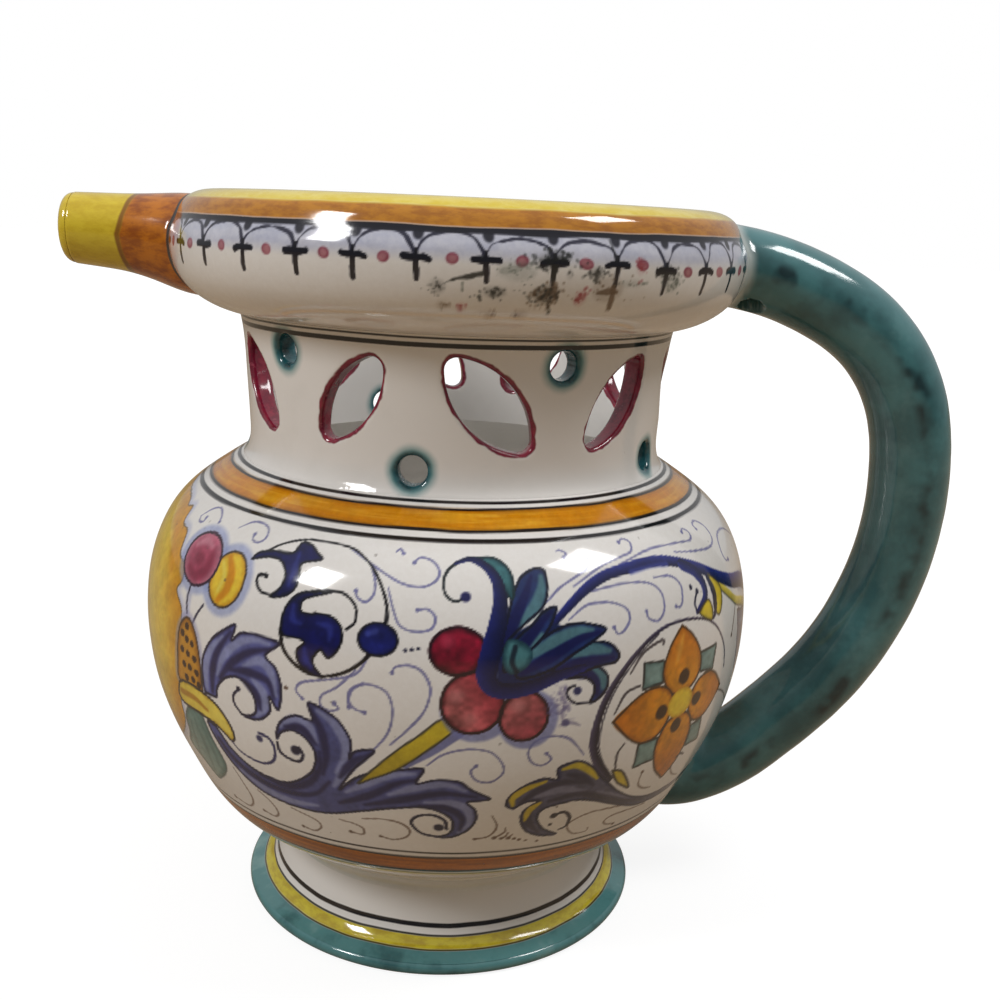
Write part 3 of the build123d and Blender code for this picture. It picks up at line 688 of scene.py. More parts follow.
def paint_specks(canvas):
    """Small blue spots where paint was spattered beside the flower, and iron specks in the glaze."""
    random = np.random.default_rng(12)
    for x, y, count in ((19.4, 33.8, 50), (19.2, 31.4, 46), (20.6, 30.2, 22)):
        for _ in range(count):
            spot = random.normal((x, y), (0.9, 1.3))
            canvas.dot(spot, random.uniform(0.2, 0.42), (88, 80, 128), random.uniform(0.1, 0.34), soft=0.35)
    canvas.dot((20.6, 28.5), 0.75, (60, 56, 104), 0.7, soft=0.5)
    canvas.stroke(((20.8, 28.4), (22, 28.3), (23.4, 27.6)), (0.8, 0.6, 0.3), (76, 70, 116), 0.5, soft=0.5)
    for _ in range(60):
        spot = random.uniform((-96, -11), (96, 62))
        canvas.dot(spot, random.uniform(0.1, 0.22), (90, 80, 74), random.uniform(0.3, 0.7), soft=0.2)


def paint_belly(canvas):
    paint_curls(canvas)
    paint_cartouche(canvas)
    paint_fruit(canvas)
    paint_acanthus_left(canvas)
    paint_navy_scroll(canvas)
    paint_quatrefoil(canvas)
    paint_acanthus_right(canvas)
    paint_branch(canvas)
    paint_berries(canvas)
    paint_tulip(canvas)
    paint_specks(canvas)
    paint_bands(canvas)


# -------------------- forms of the jug, in millimetres
FOOT_HEIGHT = 14.5
SHOULDER_Z = 101.4
NECK_TOP_Z = 131.2
RIM_SEAM_Z = 149.8
JUG_HEIGHT = 155.2
MOUTH_RADIUS = 40.9
BELLY_WALL = 4.5
FLOOR_TOP_Z = 19.0
FLOOR_RADIUS = 25.0
BELLY_SCALE = 62.0
RIM_SCALE = 60.0
BAND_ZERO_Z = 38.0
HANDLE_RADIUS = 8.9
LUTE_RADIUS = 3.8
LEAF_TIP_RADIUS = 2.2
LEAF_TIP_REACH = 1.21
LEAF_MIDDLE_Z = 118.4
LEAF_CUTS = (
    (-61, 20.5, 9.6, 40), (-26, 19, 9.2, -36), (8, 22.2, 11, 43), (44, 20.8, 9.8, -40), (80, 20.4, 9.8, 40),
    (116, 20, 9.6, -38), (152, 21, 10.2, 41), (188, 20.2, 9.8, -38), (224, 20.6, 10, 39), (260, 20, 9.6, -40),
)
PIERCING_RADIUS = 2.8
FIRST_PIERCING, PIERCING_STEP = -10, 36
PIERCING_ROWS_Z = (105.9, 126.0)
HANDLE_LINE = (
    (51, 145.2), (67, 142.5), (79, 138), (90, 131), (99.5, 117.5), (103, 99.5), (101.5, 81), (96, 64.5),
    (87.5, 50.5), (77.5, 40), (67.5, 31.5), (58.5, 27.1), (50.5, 26.4), (43.5, 31),
)
SPOUT_RINGS = (
    (-83, 146.3, 7.2), (-76.5, 146, 7.6), (-70, 145.6, 8.1), (-64, 144.9, 9.1), (-58.5, 144.1, 10.2),
    (-50, 143.2, 10.5),
)
CURVE_STEP = 0.25
SHARP_ANGLE = 50


def curve_through(points, start_way=None, end_way=None):
    """A smooth line through the points, with the ways it starts and ends where they are given."""
    points = np.array(points, float)
    count = len(points)
    spans = np.hypot(*np.diff(points, axis=0).T)
    system = np.zeros((count, count))
    target = np.zeros((count, 2))
    for row, way, after in ((0, start_way, 1), (count - 1, end_way, count - 2)):
        if way is None:
            system[row, row], system[row, after] = 2, 1
            target[row] = 3 * (points[max(row, after)] - points[min(row, after)]) / spans[min(row, after)]
        else:
            system[row, row] = 1
            target[row] = np.array(way, float) / np.hypot(*way)
    for row in range(1, count - 1):
        before, after = spans[row - 1], spans[row]
        system[row, row - 1], system[row, row], system[row, row + 1] = after, 2 * (before + after), before
        rise, fall = (points[row + 1] - points[row]) / after, (points[row] - points[row - 1]) / before
        target[row] = 3 * (before * rise + after * fall)
    slopes = np.linalg.solve(system, target)
    runs = []
    for k, span in enumerate(spans):
        t = np.linspace(0, 1, max(2, int(span / CURVE_STEP)), endpoint=False)[:, None]
        runs.append(
            (2 * t**3 - 3 * t**2 + 1) * points[k] + (t**3 - 2 * t**2 + t) * span * slopes[k]
            + (3 * t**2 - 2 * t**3) * points[k + 1] + (t**3 - t**2) * span * slopes[k + 1]
        )
    runs.append(points[-1:])
    return np.vstack(runs)


def run_length(line):
    return np.concatenate(([0], np.cumsum(np.hypot(*np.diff(line, axis=0).T))))


def at_lengths(line, run, places):
    """A line's points, or its directions, at the given places along its run."""
    return np.column_stack((np.interp(places, run, line[:, 0]), np.interp(places, run, line[:, 1])))


def resample(line, places):
    return at_lengths(line, run_length(line), places)


belly_skin = curve_through((
    (37, 14.5), (39.2, 18.8), (50, 26.2), (58.2, 38.4), (63.6, 51.5), (66.1, 67.5), (64.5, 81.3),
    (58.9, 91.9),
    (50.8, 98.3), (45.8, SHOULDER_Z)), (0.1, 1), (-1, 0.55))
neck_skin = curve_through((
    (45.8, SHOULDER_Z), (44.5, 104.2), (44.3, 109), (44.9, 119), (46.3, NECK_TOP_Z)), (-1, 1), (0.25, 1))
neck_inside = curve_through(((MOUTH_RADIUS, SHOULDER_Z), (40.4, 117), (MOUTH_RADIUS, NECK_TOP_Z)))
rim_skin = curve_through((
    (46.3, NECK_TOP_Z), (53.9, 133.9), (58.3, 138.2), (60, 143.4), (59.8, 147), (58.6, RIM_SEAM_Z)),
    (1, 0.12), (-0.4, 1))
rim_mouth = curve_through(((41.5, RIM_SEAM_Z), (41.3, 140), (MOUTH_RADIUS, NECK_TOP_Z)))
cap_skin = curve_through((
    (58.6, RIM_SEAM_Z), (57.2, 152.8), (54.4, 154.7), (50, JUG_HEIGHT), (44.9, 154), (42.2, 151.9),
    (41.5, RIM_SEAM_Z)), (-0.4, 1), (-0.1, -1))
cap_skin[:, 1] = np.minimum(cap_skin[:, 1], JUG_HEIGHT)
foot_skin = curve_through((
    (44.3, 2.7), (40.9, 4.2), (39, 6.4), (38, 9.2), (37, FOOT_HEIGHT)), (-1, 0.3), (0, 1))


def around(radius, height, angle):
    """Places on a turned surface: angle 0 is at -Y, the side seen in front, and grows to the handle."""
    turn = np.radians(angle)
    return np.stack(np.broadcast_arrays(radius * np.sin(turn), -radius * np.cos(turn), height), -1)


def thrown(angle, height):
    """The slight unevenness of a wall thrown by hand, up to 0.12 mm inwards."""
    turn = np.radians(angle)
    waves = np.sin(2 * turn + 0.8) + 0.8 * np.sin(3 * turn + height * 0.07)
    waves = waves + 0.5 * np.sin(height * 0.55 + np.sin(turn))
    return -0.026 * (2.3 + waves)


# -------------------- meshes
def to_linear(colour):
    value = np.clip(colour / 255, 0, 1)
    return np.where(value <= 0.04045, value / 12.92, ((value + 0.055) / 1.055) ** 2.4)


class Shell:
    """A closed mesh put together from grids of points."""

    def __init__(self):
        self.points, self.faces, self.values = [], [], []
        self.count = 0

    def add(self, grid, values=None):
        """Adds rows and columns of points with their values, and returns their numbers in the same layout."""
        grid = np.asarray(grid, float)
        numbers = np.arange(grid.shape[0] * grid.shape[1]).reshape(grid.shape[:2]) + self.count
        self.points.append(grid.reshape(-1, 3))
        if values is not None:
            self.values.append(np.asarray(values).reshape(len(self.points[-1]), -1))
        self.count += numbers.size
        return numbers

    def skin(self, numbers, flip=False):
        """Four-sided faces over a layout of numbers, turned to a viewer who sees its rows run up."""
        a, b, c, d = numbers[:-1, :-1], numbers[:-1, 1:], numbers[1:, 1:], numbers[1:, :-1]
        order = (a, d, c, b) if flip else (a, b, c, d)
        self.faces.extend(np.stack(order, -1).reshape(-1, 4).tolist())

    def zip(self, fine, coarse):
        """Joins two edges that start and end side by side and have different numbers of points."""
        i = j = 0
        last_fine, last_coarse = len(fine) - 1, len(coarse) - 1
        while i < last_fine or j < last_coarse:
            if j == last_coarse or (i < last_fine and (i + 1) / last_fine <= (j + 1) / last_coarse):
                self.faces.append((int(fine[i]), int(fine[i + 1]), int(coarse[j])))
                i += 1
            else:
                self.faces.append((int(fine[i]), int(coarse[j + 1]), int(coarse[j])))
                j += 1

    def piece(self, name, finish, paint=False, sharp=SHARP_ANGLE):
        """The finished object, in metres, with its painted colours or its lengths along the profile."""
        mesh = bpy.data.meshes.new(name)
        mesh.from_pydata((np.vstack(self.points) * MM).tolist(), [], self.faces)
        if paint:
            colours = np.ones((self.count, 4), np.float32)
            colours[:, :3] = to_linear(np.vstack(self.values))
            mesh.color_attributes.new("paint", "FLOAT_COLOR", "POINT").data.foreach_set("color",
                colours.ravel())
        elif self.values:
            write_values(mesh, "run", np.vstack(self.values))
        return finish_mesh(name, mesh, finish, sharp)


def write_values(mesh, name, values):
    """A number for each point, which the piece's finish reads."""
    flat = values.astype(np.float32).ravel()
    mesh.attributes.new(name, "FLOAT", "POINT").data.foreach_set("value", flat)


def new_object(name, data):
    made = bpy.data.objects.new(name, data)
    bpy.context.scene.collection.objects.link(made)
    return made


def finish_mesh(name, mesh, finish, sharp):
    work = bmesh.new()
    work.from_mesh(mesh)
    bmesh.ops.recalc_face_normals(work, faces=work.faces)
    work.to_mesh(mesh)
    work.free()
    mesh.materials.clear()
    mesh.materials.append(finish)
    mesh.shade_smooth()
    mesh.set_sharp_from_angle(angle=np.radians(sharp))
    return new_object(name, mesh)


def place(piece, slot, *nodes):
    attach(piece, "root")
    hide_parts(*nodes)
    return piece


def turned(name, profile, finish, angles, values=None, paint=False):
    """A closed ring turned from a closed profile of (radius, height), with its paint or its run along it."""
    profile = np.array(profile)
    if isinstance(angles, int):
        angles = np.linspace(0, 360, angles, endpoint=False)
    if values is None:
        values = np.repeat(run_length(profile)[:, None], len(angles), 1)
    shell = Shell()
    numbers = shell.add(around(profile[:, :1], profile[:, 1:], angles[None, :]), values)
    numbers = np.hstack((numbers, numbers[:, :1]))
    shell.skin(np.vstack((numbers, numbers[:1])))
    return shell.piece(name, finish, paint)


# -------------------- finishes
def rgb(colour):
    return (*to_linear(np.array(colour, float)), 1.0)


def set_or_link(tree, socket, value):
    if isinstance(value, bpy.types.NodeSocket):
        tree.links.new(value, socket)
    else:
        socket.default_value = value


def wired(tree, kind, settings=None, **inputs):
    """A new node with its settings; each named input is linked to a socket or set to a value."""
    node = tree.nodes.new(kind)
    for name, value in (settings or {}).items():
        setattr(node, name, value)
    for title, value in inputs.items():
        set_or_link(tree, node.inputs[title.replace("_", " ")], value)
    return node


def new_group(name, inputs, outputs):
    """A shader group with named inputs and number outputs; returns it with its two end nodes."""
    group = bpy.data.node_groups.new(name, "ShaderNodeTree")
    group.interface.new_socket("Vector", in_out="INPUT", socket_type="NodeSocketVector")
    for title, default in inputs:
        socket = group.interface.new_socket(title, in_out="INPUT", socket_type="NodeSocketFloat")
        socket.default_value = default
    for title in outputs:
        group.interface.new_socket(title, in_out="OUTPUT", socket_type="NodeSocketFloat")
    return group, group.nodes.new("NodeGroupInput").outputs, group.nodes.new("NodeGroupOutput").inputs


def math_node(tree, operation, first, second=None):
    node = wired(tree, "ShaderNodeMath", {"operation": operation})
    set_or_link(tree, node.inputs[0], first)
    if second is not None:
        set_or_link(tree, node.inputs[1], second)
    return node.outputs[0]


def times(tree, first, second):
    return math_node(tree, "MULTIPLY", first, second)


def plus(tree, first, second):
    return math_node(tree, "ADD", first, second)


def minus(tree, first, second):
    return math_node(tree, "SUBTRACT", first, second)


def larger(tree, first, second):
    return math_node(tree, "MAXIMUM", first, second)


def remap(tree, value, low, high, to_low=0.0, to_high=1.0):
    node = wired(tree, "ShaderNodeMapRange", {"interpolation_type": "SMOOTHSTEP"}, Value=value,
                 From_Min=low, From_Max=high, To_Min=to_low, To_Max=to_high)
    return node.outputs["Result"]


def noise_node(tree, vector, scale, detail=2.0, roughness=0.5):
    node = wired(tree, "ShaderNodeTexNoise", Detail=detail, Roughness=roughness, Scale=scale, Vector=vector)
    return node.outputs["Fac"]


def mix_colour(tree, factor, first, second, mode="MIX"):
    node = wired(tree, "ShaderNodeMix", {"data_type": "RGBA", "blend_type": mode})
    for k, value in ((0, factor), (6, first), (7, second)):
        set_or_link(tree, node.inputs[k], value)
    return node.outputs[2]


def build_glaze_skin():
    """Waves, pinholes and a change of gloss in a fired glaze."""
    group, given, result = new_group(
        "glaze_skin", (("Wave Size", 70.0), ("Pinhole Depth", 0.5), ("Base Roughness", 0.12)),
        ("Height", "Roughness", "Shade"))
    waves = noise_node(group, given["Vector"], given["Wave Size"], 3)
    peel = noise_node(group, given["Vector"], 620.0, 2)
    pits = wired(group, "ShaderNodeTexVoronoi", Scale=260.0, Vector=given["Vector"])
    rare = math_node(group, "GREATER_THAN", noise_node(group, given["Vector"], 330.0), 0.66)
    pit = times(group, remap(group, pits.outputs["Distance"], 0.03, 0.09, 1, 0), rare)
    pit = times(group, pit, given["Pinhole Depth"])
    height = plus(group, waves, times(group, peel, 0.05))
    group.links.new(minus(group, height, pit), result["Height"])
    gloss = plus(group, given["Base Roughness"], times(group, minus(group, waves, 0.5), 0.12))
    group.links.new(plus(group, gloss, times(group, pit, 0.5)), result["Roughness"])
    group.links.new(minus(group, 1.0, times(group, pit, 0.35)), result["Shade"])
    return group


def build_kiln_mottle():
    """Cloudy dark and pale patches where a coloured glaze ran thick and thin."""
    group, given, result = new_group(
        "kiln_mottle", (("Patch Size", 60.0), ("Fine Size", 240.0)), ("Dark", "Pale"))
    broad = noise_node(group, given["Vector"], given["Patch Size"], 4, 0.6)
    fine = noise_node(group, given["Vector"], given["Fine Size"], 3, 0.6)
    blend = plus(group, times(group, broad, 0.75), times(group, fine, 0.25))
    group.links.new(remap(group, blend, 0.36, 0.5, 1, 0), result["Dark"])
    group.links.new(remap(group, blend, 0.52, 0.68), result["Pale"])
    return group


def build_brush_streaks():
    """Streaks that a loaded brush leaves, and the places where its paint is thin."""
    group, given, result = new_group("brush_streaks", (("Streak Size", 300.0),), ("Streak", "Thin"))
    coarse = noise_node(group, given["Vector"], given["Streak Size"], 4, 0.65)
    group.links.new(remap(group, coarse, 0.35, 0.68), result["Streak"])
    group.links.new(remap(group, coarse, 0.60, 0.75), result["Thin"])
    return group


GLAZE_SKIN = build_glaze_skin()
KILN_MOTTLE = build_kiln_mottle()
BRUSH_STREAKS = build_brush_streaks()
PINHOLES = 0.5
STEPS_PER_METRE = 1000.0


class Finish:
    """A glazed material: object coordinates, the shared glaze skin and a glossy shader."""

    def __init__(self, name, roughness=0.1, wave_size=70.0, bump=0.00006):
        self.material = bpy.data.materials.new(name)
        self.material.use_nodes = True
        self.tree = self.material.node_tree
        self.shader = self.tree.nodes["Principled BSDF"]
        for title, value in (("IOR", 1.52), ("Coat Weight", 0.25), ("Coat Roughness", 0.03)):
            self.shader.inputs[title].default_value = value
        self.place = self.tree.nodes.new("ShaderNodeTexCoord").outputs["Object"]
        skin = self.group(GLAZE_SKIN, Wave_Size=wave_size, Pinhole_Depth=PINHOLES, Base_Roughness=roughness)
        self.tree.links.new(skin["Roughness"], self.shader.inputs["Roughness"])
        self.shade = skin["Shade"]
        relief = wired(self.tree, "ShaderNodeBump", Distance=bump, Height=skin["Height"])
        self.tree.links.new(relief.outputs["Normal"], self.shader.inputs["Normal"])

    def group(self, group, vector=None, **values):
        node = wired(self.tree, "ShaderNodeGroup", {"node_tree": group}, Vector=vector or self.place,
            **values)
        return node.outputs

    def attribute(self, name, output="Fac"):
        return wired(self.tree, "ShaderNodeAttribute", {"attribute_name": name}).outputs[output]

    def stretched(self, scale):
        return wired(self.tree, "ShaderNodeMapping", Scale=scale, Vector=self.place).outputs["Vector"]

    def millimetres(self, axis):
        """The place along an axis of the jug."""
        split = wired(self.tree, "ShaderNodeSeparateXYZ", Vector=self.place)
        return times(self.tree, split.outputs[axis], STEPS_PER_METRE)

    def colour(self, value):
        """Ends the colour: pinholes darken it a little."""
        shaded = mix_colour(self.tree, 1.0, value, self.grey(self.shade), "MULTIPLY")
        self.tree.links.new(shaded, self.shader.inputs["Base Color"])
        return self.material

    def grey(self, value):
        return wired(self.tree, "ShaderNodeCombineColor", Red=value, Green=value, Blue=value).outputs["Color"]

    def mask(self, value, edge, soft=0.25, rising=True):
        ends = (0.0, 1.0) if rising else (1.0, 0.0)
        return remap(self.tree, value, edge - soft / 2, edge + soft / 2, *ends)

    def between(self, value, low, high, soft=0.25):
        return times(self.tree, self.mask(value, low, soft), self.mask(value, high, soft, False))

    def wavering(self, value, amount, scale=90.0):
        """A length with a hand's waver added."""
        sway = minus(self.tree, noise_node(self.tree, self.place, scale, 2), 0.5)
        return plus(self.tree, value, times(self.tree, sway, amount))

    def over(self, below, cover, colour, strength=None):
        """Lays a colour over what is below it, as far as cover says."""
        if strength is not None:
            cover = times(self.tree, cover, strength)
        return mix_colour(self.tree, cover, below, rgb(colour) if isinstance(colour, tuple) else colour)


def painted_finish():
    """White glaze whose paint comes from the piece's own painted colours."""
    finish = Finish("painted_glaze")
    streak = finish.grey(finish.group(BRUSH_STREAKS, Streak_Size=900.0)["Streak"])
    return finish.colour(mix_colour(finish.tree, 0.07, finish.attribute("paint", "Color"), streak, "OVERLAY"))


def neck_finish():
    """White glaze, wine-red edges on the leaf cuts, teal rings round the piercings, two lines at the top."""
    finish = Finish("pierced_glaze")
    patches = finish.group(KILN_MOTTLE, Patch_Size=45.0, Fine_Size=160.0)
    streaks = finish.group(BRUSH_STREAKS, Streak_Size=420.0)
    tint = finish.over(rgb(WHITE), patches["Dark"], (222, 219, 214), 0.35)
    leaf = finish.wavering(finish.attribute("leaf_gap"), 1.3, 300.0)
    wine = finish.over(rgb(MAGENTA), streaks["Streak"], (104, 20, 44))
    wine = finish.over(wine, streaks["Thin"], (186, 84, 104), 0.7)
    tint = finish.over(tint, finish.mask(leaf, 0.8, 0.4, False), wine)
    hole = finish.wavering(finish.attribute("hole_gap"), 1.0, 200.0)
    teal = finish.over(rgb((44, 100, 108)), streaks["Streak"], (28, 62, 68))
    tint = finish.over(tint, finish.mask(hole, 1.7, 2.2, False), (112, 156, 158))
    tint = finish.over(tint, finish.mask(hole, 0.9, 1.1, False), teal)
    height = finish.wavering(finish.millimetres("Z"), 0.5, 30.0)
    outer = finish.attribute("outer_face")
    for low, high, colour in ((129.0, 129.9, BLACK), (130.55, 130.95, (44, 44, 46))):
        tint = finish.over(tint, finish.between(height, low, high, 0.25), colour, outer)
    return finish.colour(tint)


def handle_finish():
    """Teal glaze with a dark stroke at its side; a painted highlight makes the handle's back paler and a
    painted warm grey shade sits inside its bend.
    """
    finish = Finish("handle_glaze", roughness=0.12, wave_size=50.0, bump=0.00004)
    tree = finish.tree
    outward = finish.attribute("outward")
    lane = wired(tree, "ShaderNodeCombineXYZ", X=times(tree, finish.attribute("length"), 0.05),
                 Y=times(tree, outward, 0.6))
    clouds = noise_node(tree, lane.outputs["Vector"], 1.5, 3, 0.55)
    fine = finish.group(KILN_MOTTLE, Patch_Size=60.0, Fine_Size=240.0)
    tint = finish.over(rgb((54, 98, 102)), remap(tree, clouds, 0.35, 0.65), (72, 124, 128))
    tint = finish.over(tint, fine["Dark"], (38, 74, 78), 0.3)
    tint = finish.over(tint, fine["Pale"], (104, 148, 150), 0.3)
    # painted highlight: the handle's back, which faces up and out towards the lamps, is made paler
    tint = finish.over(tint, remap(tree, outward, 0.2, 0.95), (98, 146, 150), 0.4)
    # painted shade: the inner side of the bend, facing the jug, gets a warm grey for the shade and the light
    # bounced off the jug
    tint = finish.over(tint, remap(tree, outward, -0.3, -1), (84, 102, 96), 0.35)
    blots = noise_node(tree, finish.place, 95.0, 2, 0.6)
    stroke_middle, stroke_width = 0.12, 0.34
    gap = math_node(tree, "ABSOLUTE", minus(tree, finish.wavering(outward, 0.6, 30.0), stroke_middle))
    stroke = remap(tree, gap, stroke_width * 0.2, stroke_width, 1, 0)
    stroke = times(tree, stroke, remap(tree, blots, 0.5, 0.66))
    tint = finish.over(tint, stroke, (14, 34, 40), 0.85)
    wear = finish.mask(finish.wavering(finish.attribute("joint_gap"), 1.8, 140.0), 1.2, 3.2, False)
    return finish.colour(finish.over(tint, wear, (206, 212, 208), 0.9))


def spout_finish():
    """Yellow at the tip, rusty orange towards the rim and a dark line round the joint."""
    finish = Finish("spout_glaze")
    tree = finish.tree
    streak = finish.group(BRUSH_STREAKS, finish.stretched((1.0, 2.0, 2.0)), Streak_Size=230.0)["Streak"]
    place_x = finish.wavering(finish.millimetres("X"), 5.0, 60.0)
    middle_z = 0.1455
    height = wired(tree, "ShaderNodeSeparateXYZ", Vector=finish.place).outputs["Z"]
    off_middle = math_node(tree, "ABSOLUTE", plus(tree, height, -middle_z))
    edge = minus(tree, place_x, times(tree, off_middle, 220.0))
    tint = finish.over(rgb((222, 196, 52)), streak, (206, 176, 38))
    rust = finish.over(rgb((196, 116, 22)), streak, (150, 78, 18))
    tint = finish.over(tint, finish.mask(edge, -69.6, 1.6), rust)
    tint = finish.over(tint, finish.between(edge, -70.2, -69.2, 0.6), (140, 96, 24))
    joint = finish.wavering(finish.attribute("run"), 0.5, 120.0)
    return finish.colour(finish.over(tint, finish.mask(joint, 0.75, 0.35, False), (52, 46, 44)))


CAP_BANDS = (
    (-1.0, 0.6, (24, 24, 36), None, 0.3), (0.65, 4.4, (200, 134, 36), (170, 106, 30), 0.5),
    (4.2, 17.6, (224, 198, 62), (234, 214, 104), 0.9),
)
FOOT_GREEN = (-1.5, 6.95)
FOOT_BANDS = (
    (-20.0, -4.0, CLAY, (176, 146, 116), 0.6), (*FOOT_GREEN, (84, 136, 138), (54, 100, 104), 0.5),
    (6.9, 7.35, (70, 66, 34), None, 0.25), (7.3, 9.9, (210, 194, 48), (184, 160, 38), 0.4),
    (9.85, 10.3, (60, 58, 50), None, 0.25), (11.6, 12.6, BLACK, (40, 38, 40), 0.3),
)


def banded_finish(name, bands, mottled=()):
    """A turned piece's bands: from, to, colour, second colour and softness, in millimetres of its run."""
    finish = Finish(name)
    streak = finish.group(BRUSH_STREAKS, finish.stretched((1.0, 1.0, 3.0)), Streak_Size=260.0)["Streak"]
    mottle = finish.group(KILN_MOTTLE, Patch_Size=55.0, Fine_Size=210.0)
    run = finish.wavering(finish.attribute("run"), 0.9, 60.0)
    tint = rgb(WHITE)
    for low, high, colour, second, soft in bands:
        paint = rgb(colour)
        if (low, high) in mottled:
            paint = finish.over(paint, mottle["Dark"], second)
            paint = finish.over(paint, mottle["Pale"], (128, 166, 164), 0.8)
        elif second is not None:
            paint = finish.over(paint, streak, second)
        tint = mix_colour(finish.tree, finish.between(run, low, high, soft), tint, paint)
    return finish.colour(tint)


# -------------------- the belly
INSIDE = (246, 243, 238)


def inner_wall():
    """The belly's inside from the floor disc's edge to the mouth."""
    skin = resample(belly_skin, np.linspace(0, run_length(belly_skin)[-1], 60))
    way = np.gradient(skin, axis=0)
    way /= np.hypot(*way.T)[:, None]
    wall = skin + BELLY_WALL * np.column_stack((-way[:, 1], way[:, 0]))
    radius, height = wall.T
    kept = wall[(height > FLOOR_TOP_Z + 1) & (height < SHOULDER_Z - 2) & (radius > MOUTH_RADIUS + 0.5)]
    floor_edge = ((FLOOR_RADIUS, FOOT_HEIGHT), (FLOOR_RADIUS, FLOOR_TOP_Z), (kept[0, 0] - 2, FLOOR_TOP_Z))
    return np.vstack((*floor_edge, kept[::2], (MOUTH_RADIUS, SHOULDER_Z)))


def belly_wedge(name, finish, angles, places, colours):
    """One closed sector of the wall: a fine painted outside and a plain inside."""
    outline = resample(belly_skin, places)
    radius, height = outline[:, :1], outline[:, 1:]
    fade = smooth_step(0, 6, np.minimum(height - FOOT_HEIGHT, SHOULDER_Z - height))
    shell = Shell()
    outside = around(radius + fade * thrown(angles[None, :], height), height, angles[None, :])
    outer = shell.add(outside, colours)
    inside = inner_wall()
    coarse = np.linspace(angles[0], angles[-1], 2 + int(abs(angles[-1] - angles[0]) / 3))
    tint = np.broadcast_to(np.array(INSIDE, float), (len(inside), len(coarse), 3))
    inner = shell.add(around(inside[:, :1], inside[:, 1:], coarse[None, :]), tint)
    shell.skin(outer)
    shell.skin(inner, flip=True)
    shell.zip(outer[0], inner[0])
    shell.zip(outer[-1][::-1], inner[-1][::-1])
    shell.zip(outer[::-1, 0], inner[::-1, 0])
    shell.zip(outer[:, -1], inner[:, -1])
    return place(shell.piece(name, finish, paint=True), "belly_glaze", "belly")


def belly_rows(step):
    """Places up the profile: coarse below the painting, then a row every step."""
    run = run_length(belly_skin)
    painted = np.interp(BAND_ZERO_Z, belly_skin[:, 1], run) - 13
    lower = np.linspace(0, painted, 18, endpoint=False)
    return np.concatenate((lower, np.linspace(painted, run[-1], int((run[-1] - painted) / step))))


def belly_colours(angles, places):
    zero = np.interp(BAND_ZERO_Z, belly_skin[:, 1], run_length(belly_skin))
    canvas = Canvas(np.radians(angles) * BELLY_SCALE, places - zero, WHITE)
    paint_belly(canvas)
    return canvas.colour


FRONT_ROW_STEP, BACK_ROW_STEP = 0.29, 0.42
THIRD_COLUMNS, BACK_COLUMNS, FLOOR_COLUMNS = 224, 385, 120
FLOOR_EYE_RADIUS, FLOOR_HALFWAY_RADIUS = 0.4, 12


def make_belly(finish):
    """The painted front in three sectors, and a coarser mirror image of it as the back."""
    places = belly_rows(FRONT_ROW_STEP)
    angles = np.linspace(-90, 90, 3 * THIRD_COLUMNS + 1)
    colours = belly_colours(angles, places)
    for k, side in enumerate(("left", "middle", "right")):
        part = slice(THIRD_COLUMNS * k, THIRD_COLUMNS * (k + 1) + 1)
        belly_wedge(f"belly_front_{side}", finish, angles[part], places, colours[:, part])
    places = belly_rows(BACK_ROW_STEP)
    angles = np.linspace(-90, 90, BACK_COLUMNS)
    colours = belly_colours(angles, places)
    belly_wedge("belly_back", finish, 180 - angles, places, colours)


def make_belly_floor(finish):
    """The middle of the jug's floor, a disc inside the wall's sectors."""
    radii = (FLOOR_EYE_RADIUS, FLOOR_HALFWAY_RADIUS, FLOOR_RADIUS)
    under, over = [(radius, FOOT_HEIGHT) for radius in radii], [(radius, FLOOR_TOP_Z) for radius in radii]
    outline = np.array(under + over[::-1])
    angles = np.linspace(0, 360, FLOOR_COLUMNS, endpoint=False)
    shell = Shell()
    tint = np.broadcast_to(np.array(INSIDE, float), (len(outline), len(angles), 3))
    numbers = shell.add(around(outline[:, :1], outline[:, 1:], angles[None, :]), tint)
    shell.skin(np.hstack((numbers, numbers[:, :1])))
    shell.faces.append(numbers[0][::-1].tolist())
    shell.faces.append(numbers[-1].tolist())
    return place(shell.piece("floor_disc", finish, paint=True), "belly_glaze", "belly")


# -------------------- the foot
FOOT_COLUMNS = 640
BARE_CLAY_RUN = -6


def make_foot(finish):
    """The foot ring; its last places, where it stands and inside it, are marked as bare clay."""
    turn = np.radians(np.linspace(-90, 63, 12))
    lip = np.column_stack((43.5 + 1.4 * np.cos(turn), 1.4 + 1.4 * np.sin(turn)))
    skin = resample(foot_skin, np.linspace(0, run_length(foot_skin)[-1], 46))
    inside = (
        (31.2, FOOT_HEIGHT), (30.5, FOOT_HEIGHT - 0.6), (32.4, 7), (34, 0.7), (34.6, 0.15), (35.3, 0),
        (39, 0),
    )
    profile = np.vstack((lip, skin, inside))
    run = run_length(profile)
    run[-5:] = BARE_CLAY_RUN
    values = np.repeat(run[:, None], FOOT_COLUMNS, 1)
    return place(turned("foot", profile, finish, FOOT_COLUMNS, values), "foot_glaze", "foot_ring")


# -------------------- the rim
CROSS_ANGLES = (-61, -50.4, -39, -27.6, -17.3, -7, 4, 15, 26.3, 36.8, 47.9, 58.3)
ARCH_STEP = 10.94
HIDDEN_COLUMNS, SEEN_COLUMNS, CAP_COLUMNS = 496, 754, 900


def arch_angles():
    hidden = [CROSS_ANGLES[-1] + ARCH_STEP * k for k in range(1, 22)]
    return [angle if angle >= 90 else angle + 360 for angle in (*CROSS_ANGLES, *hidden)]


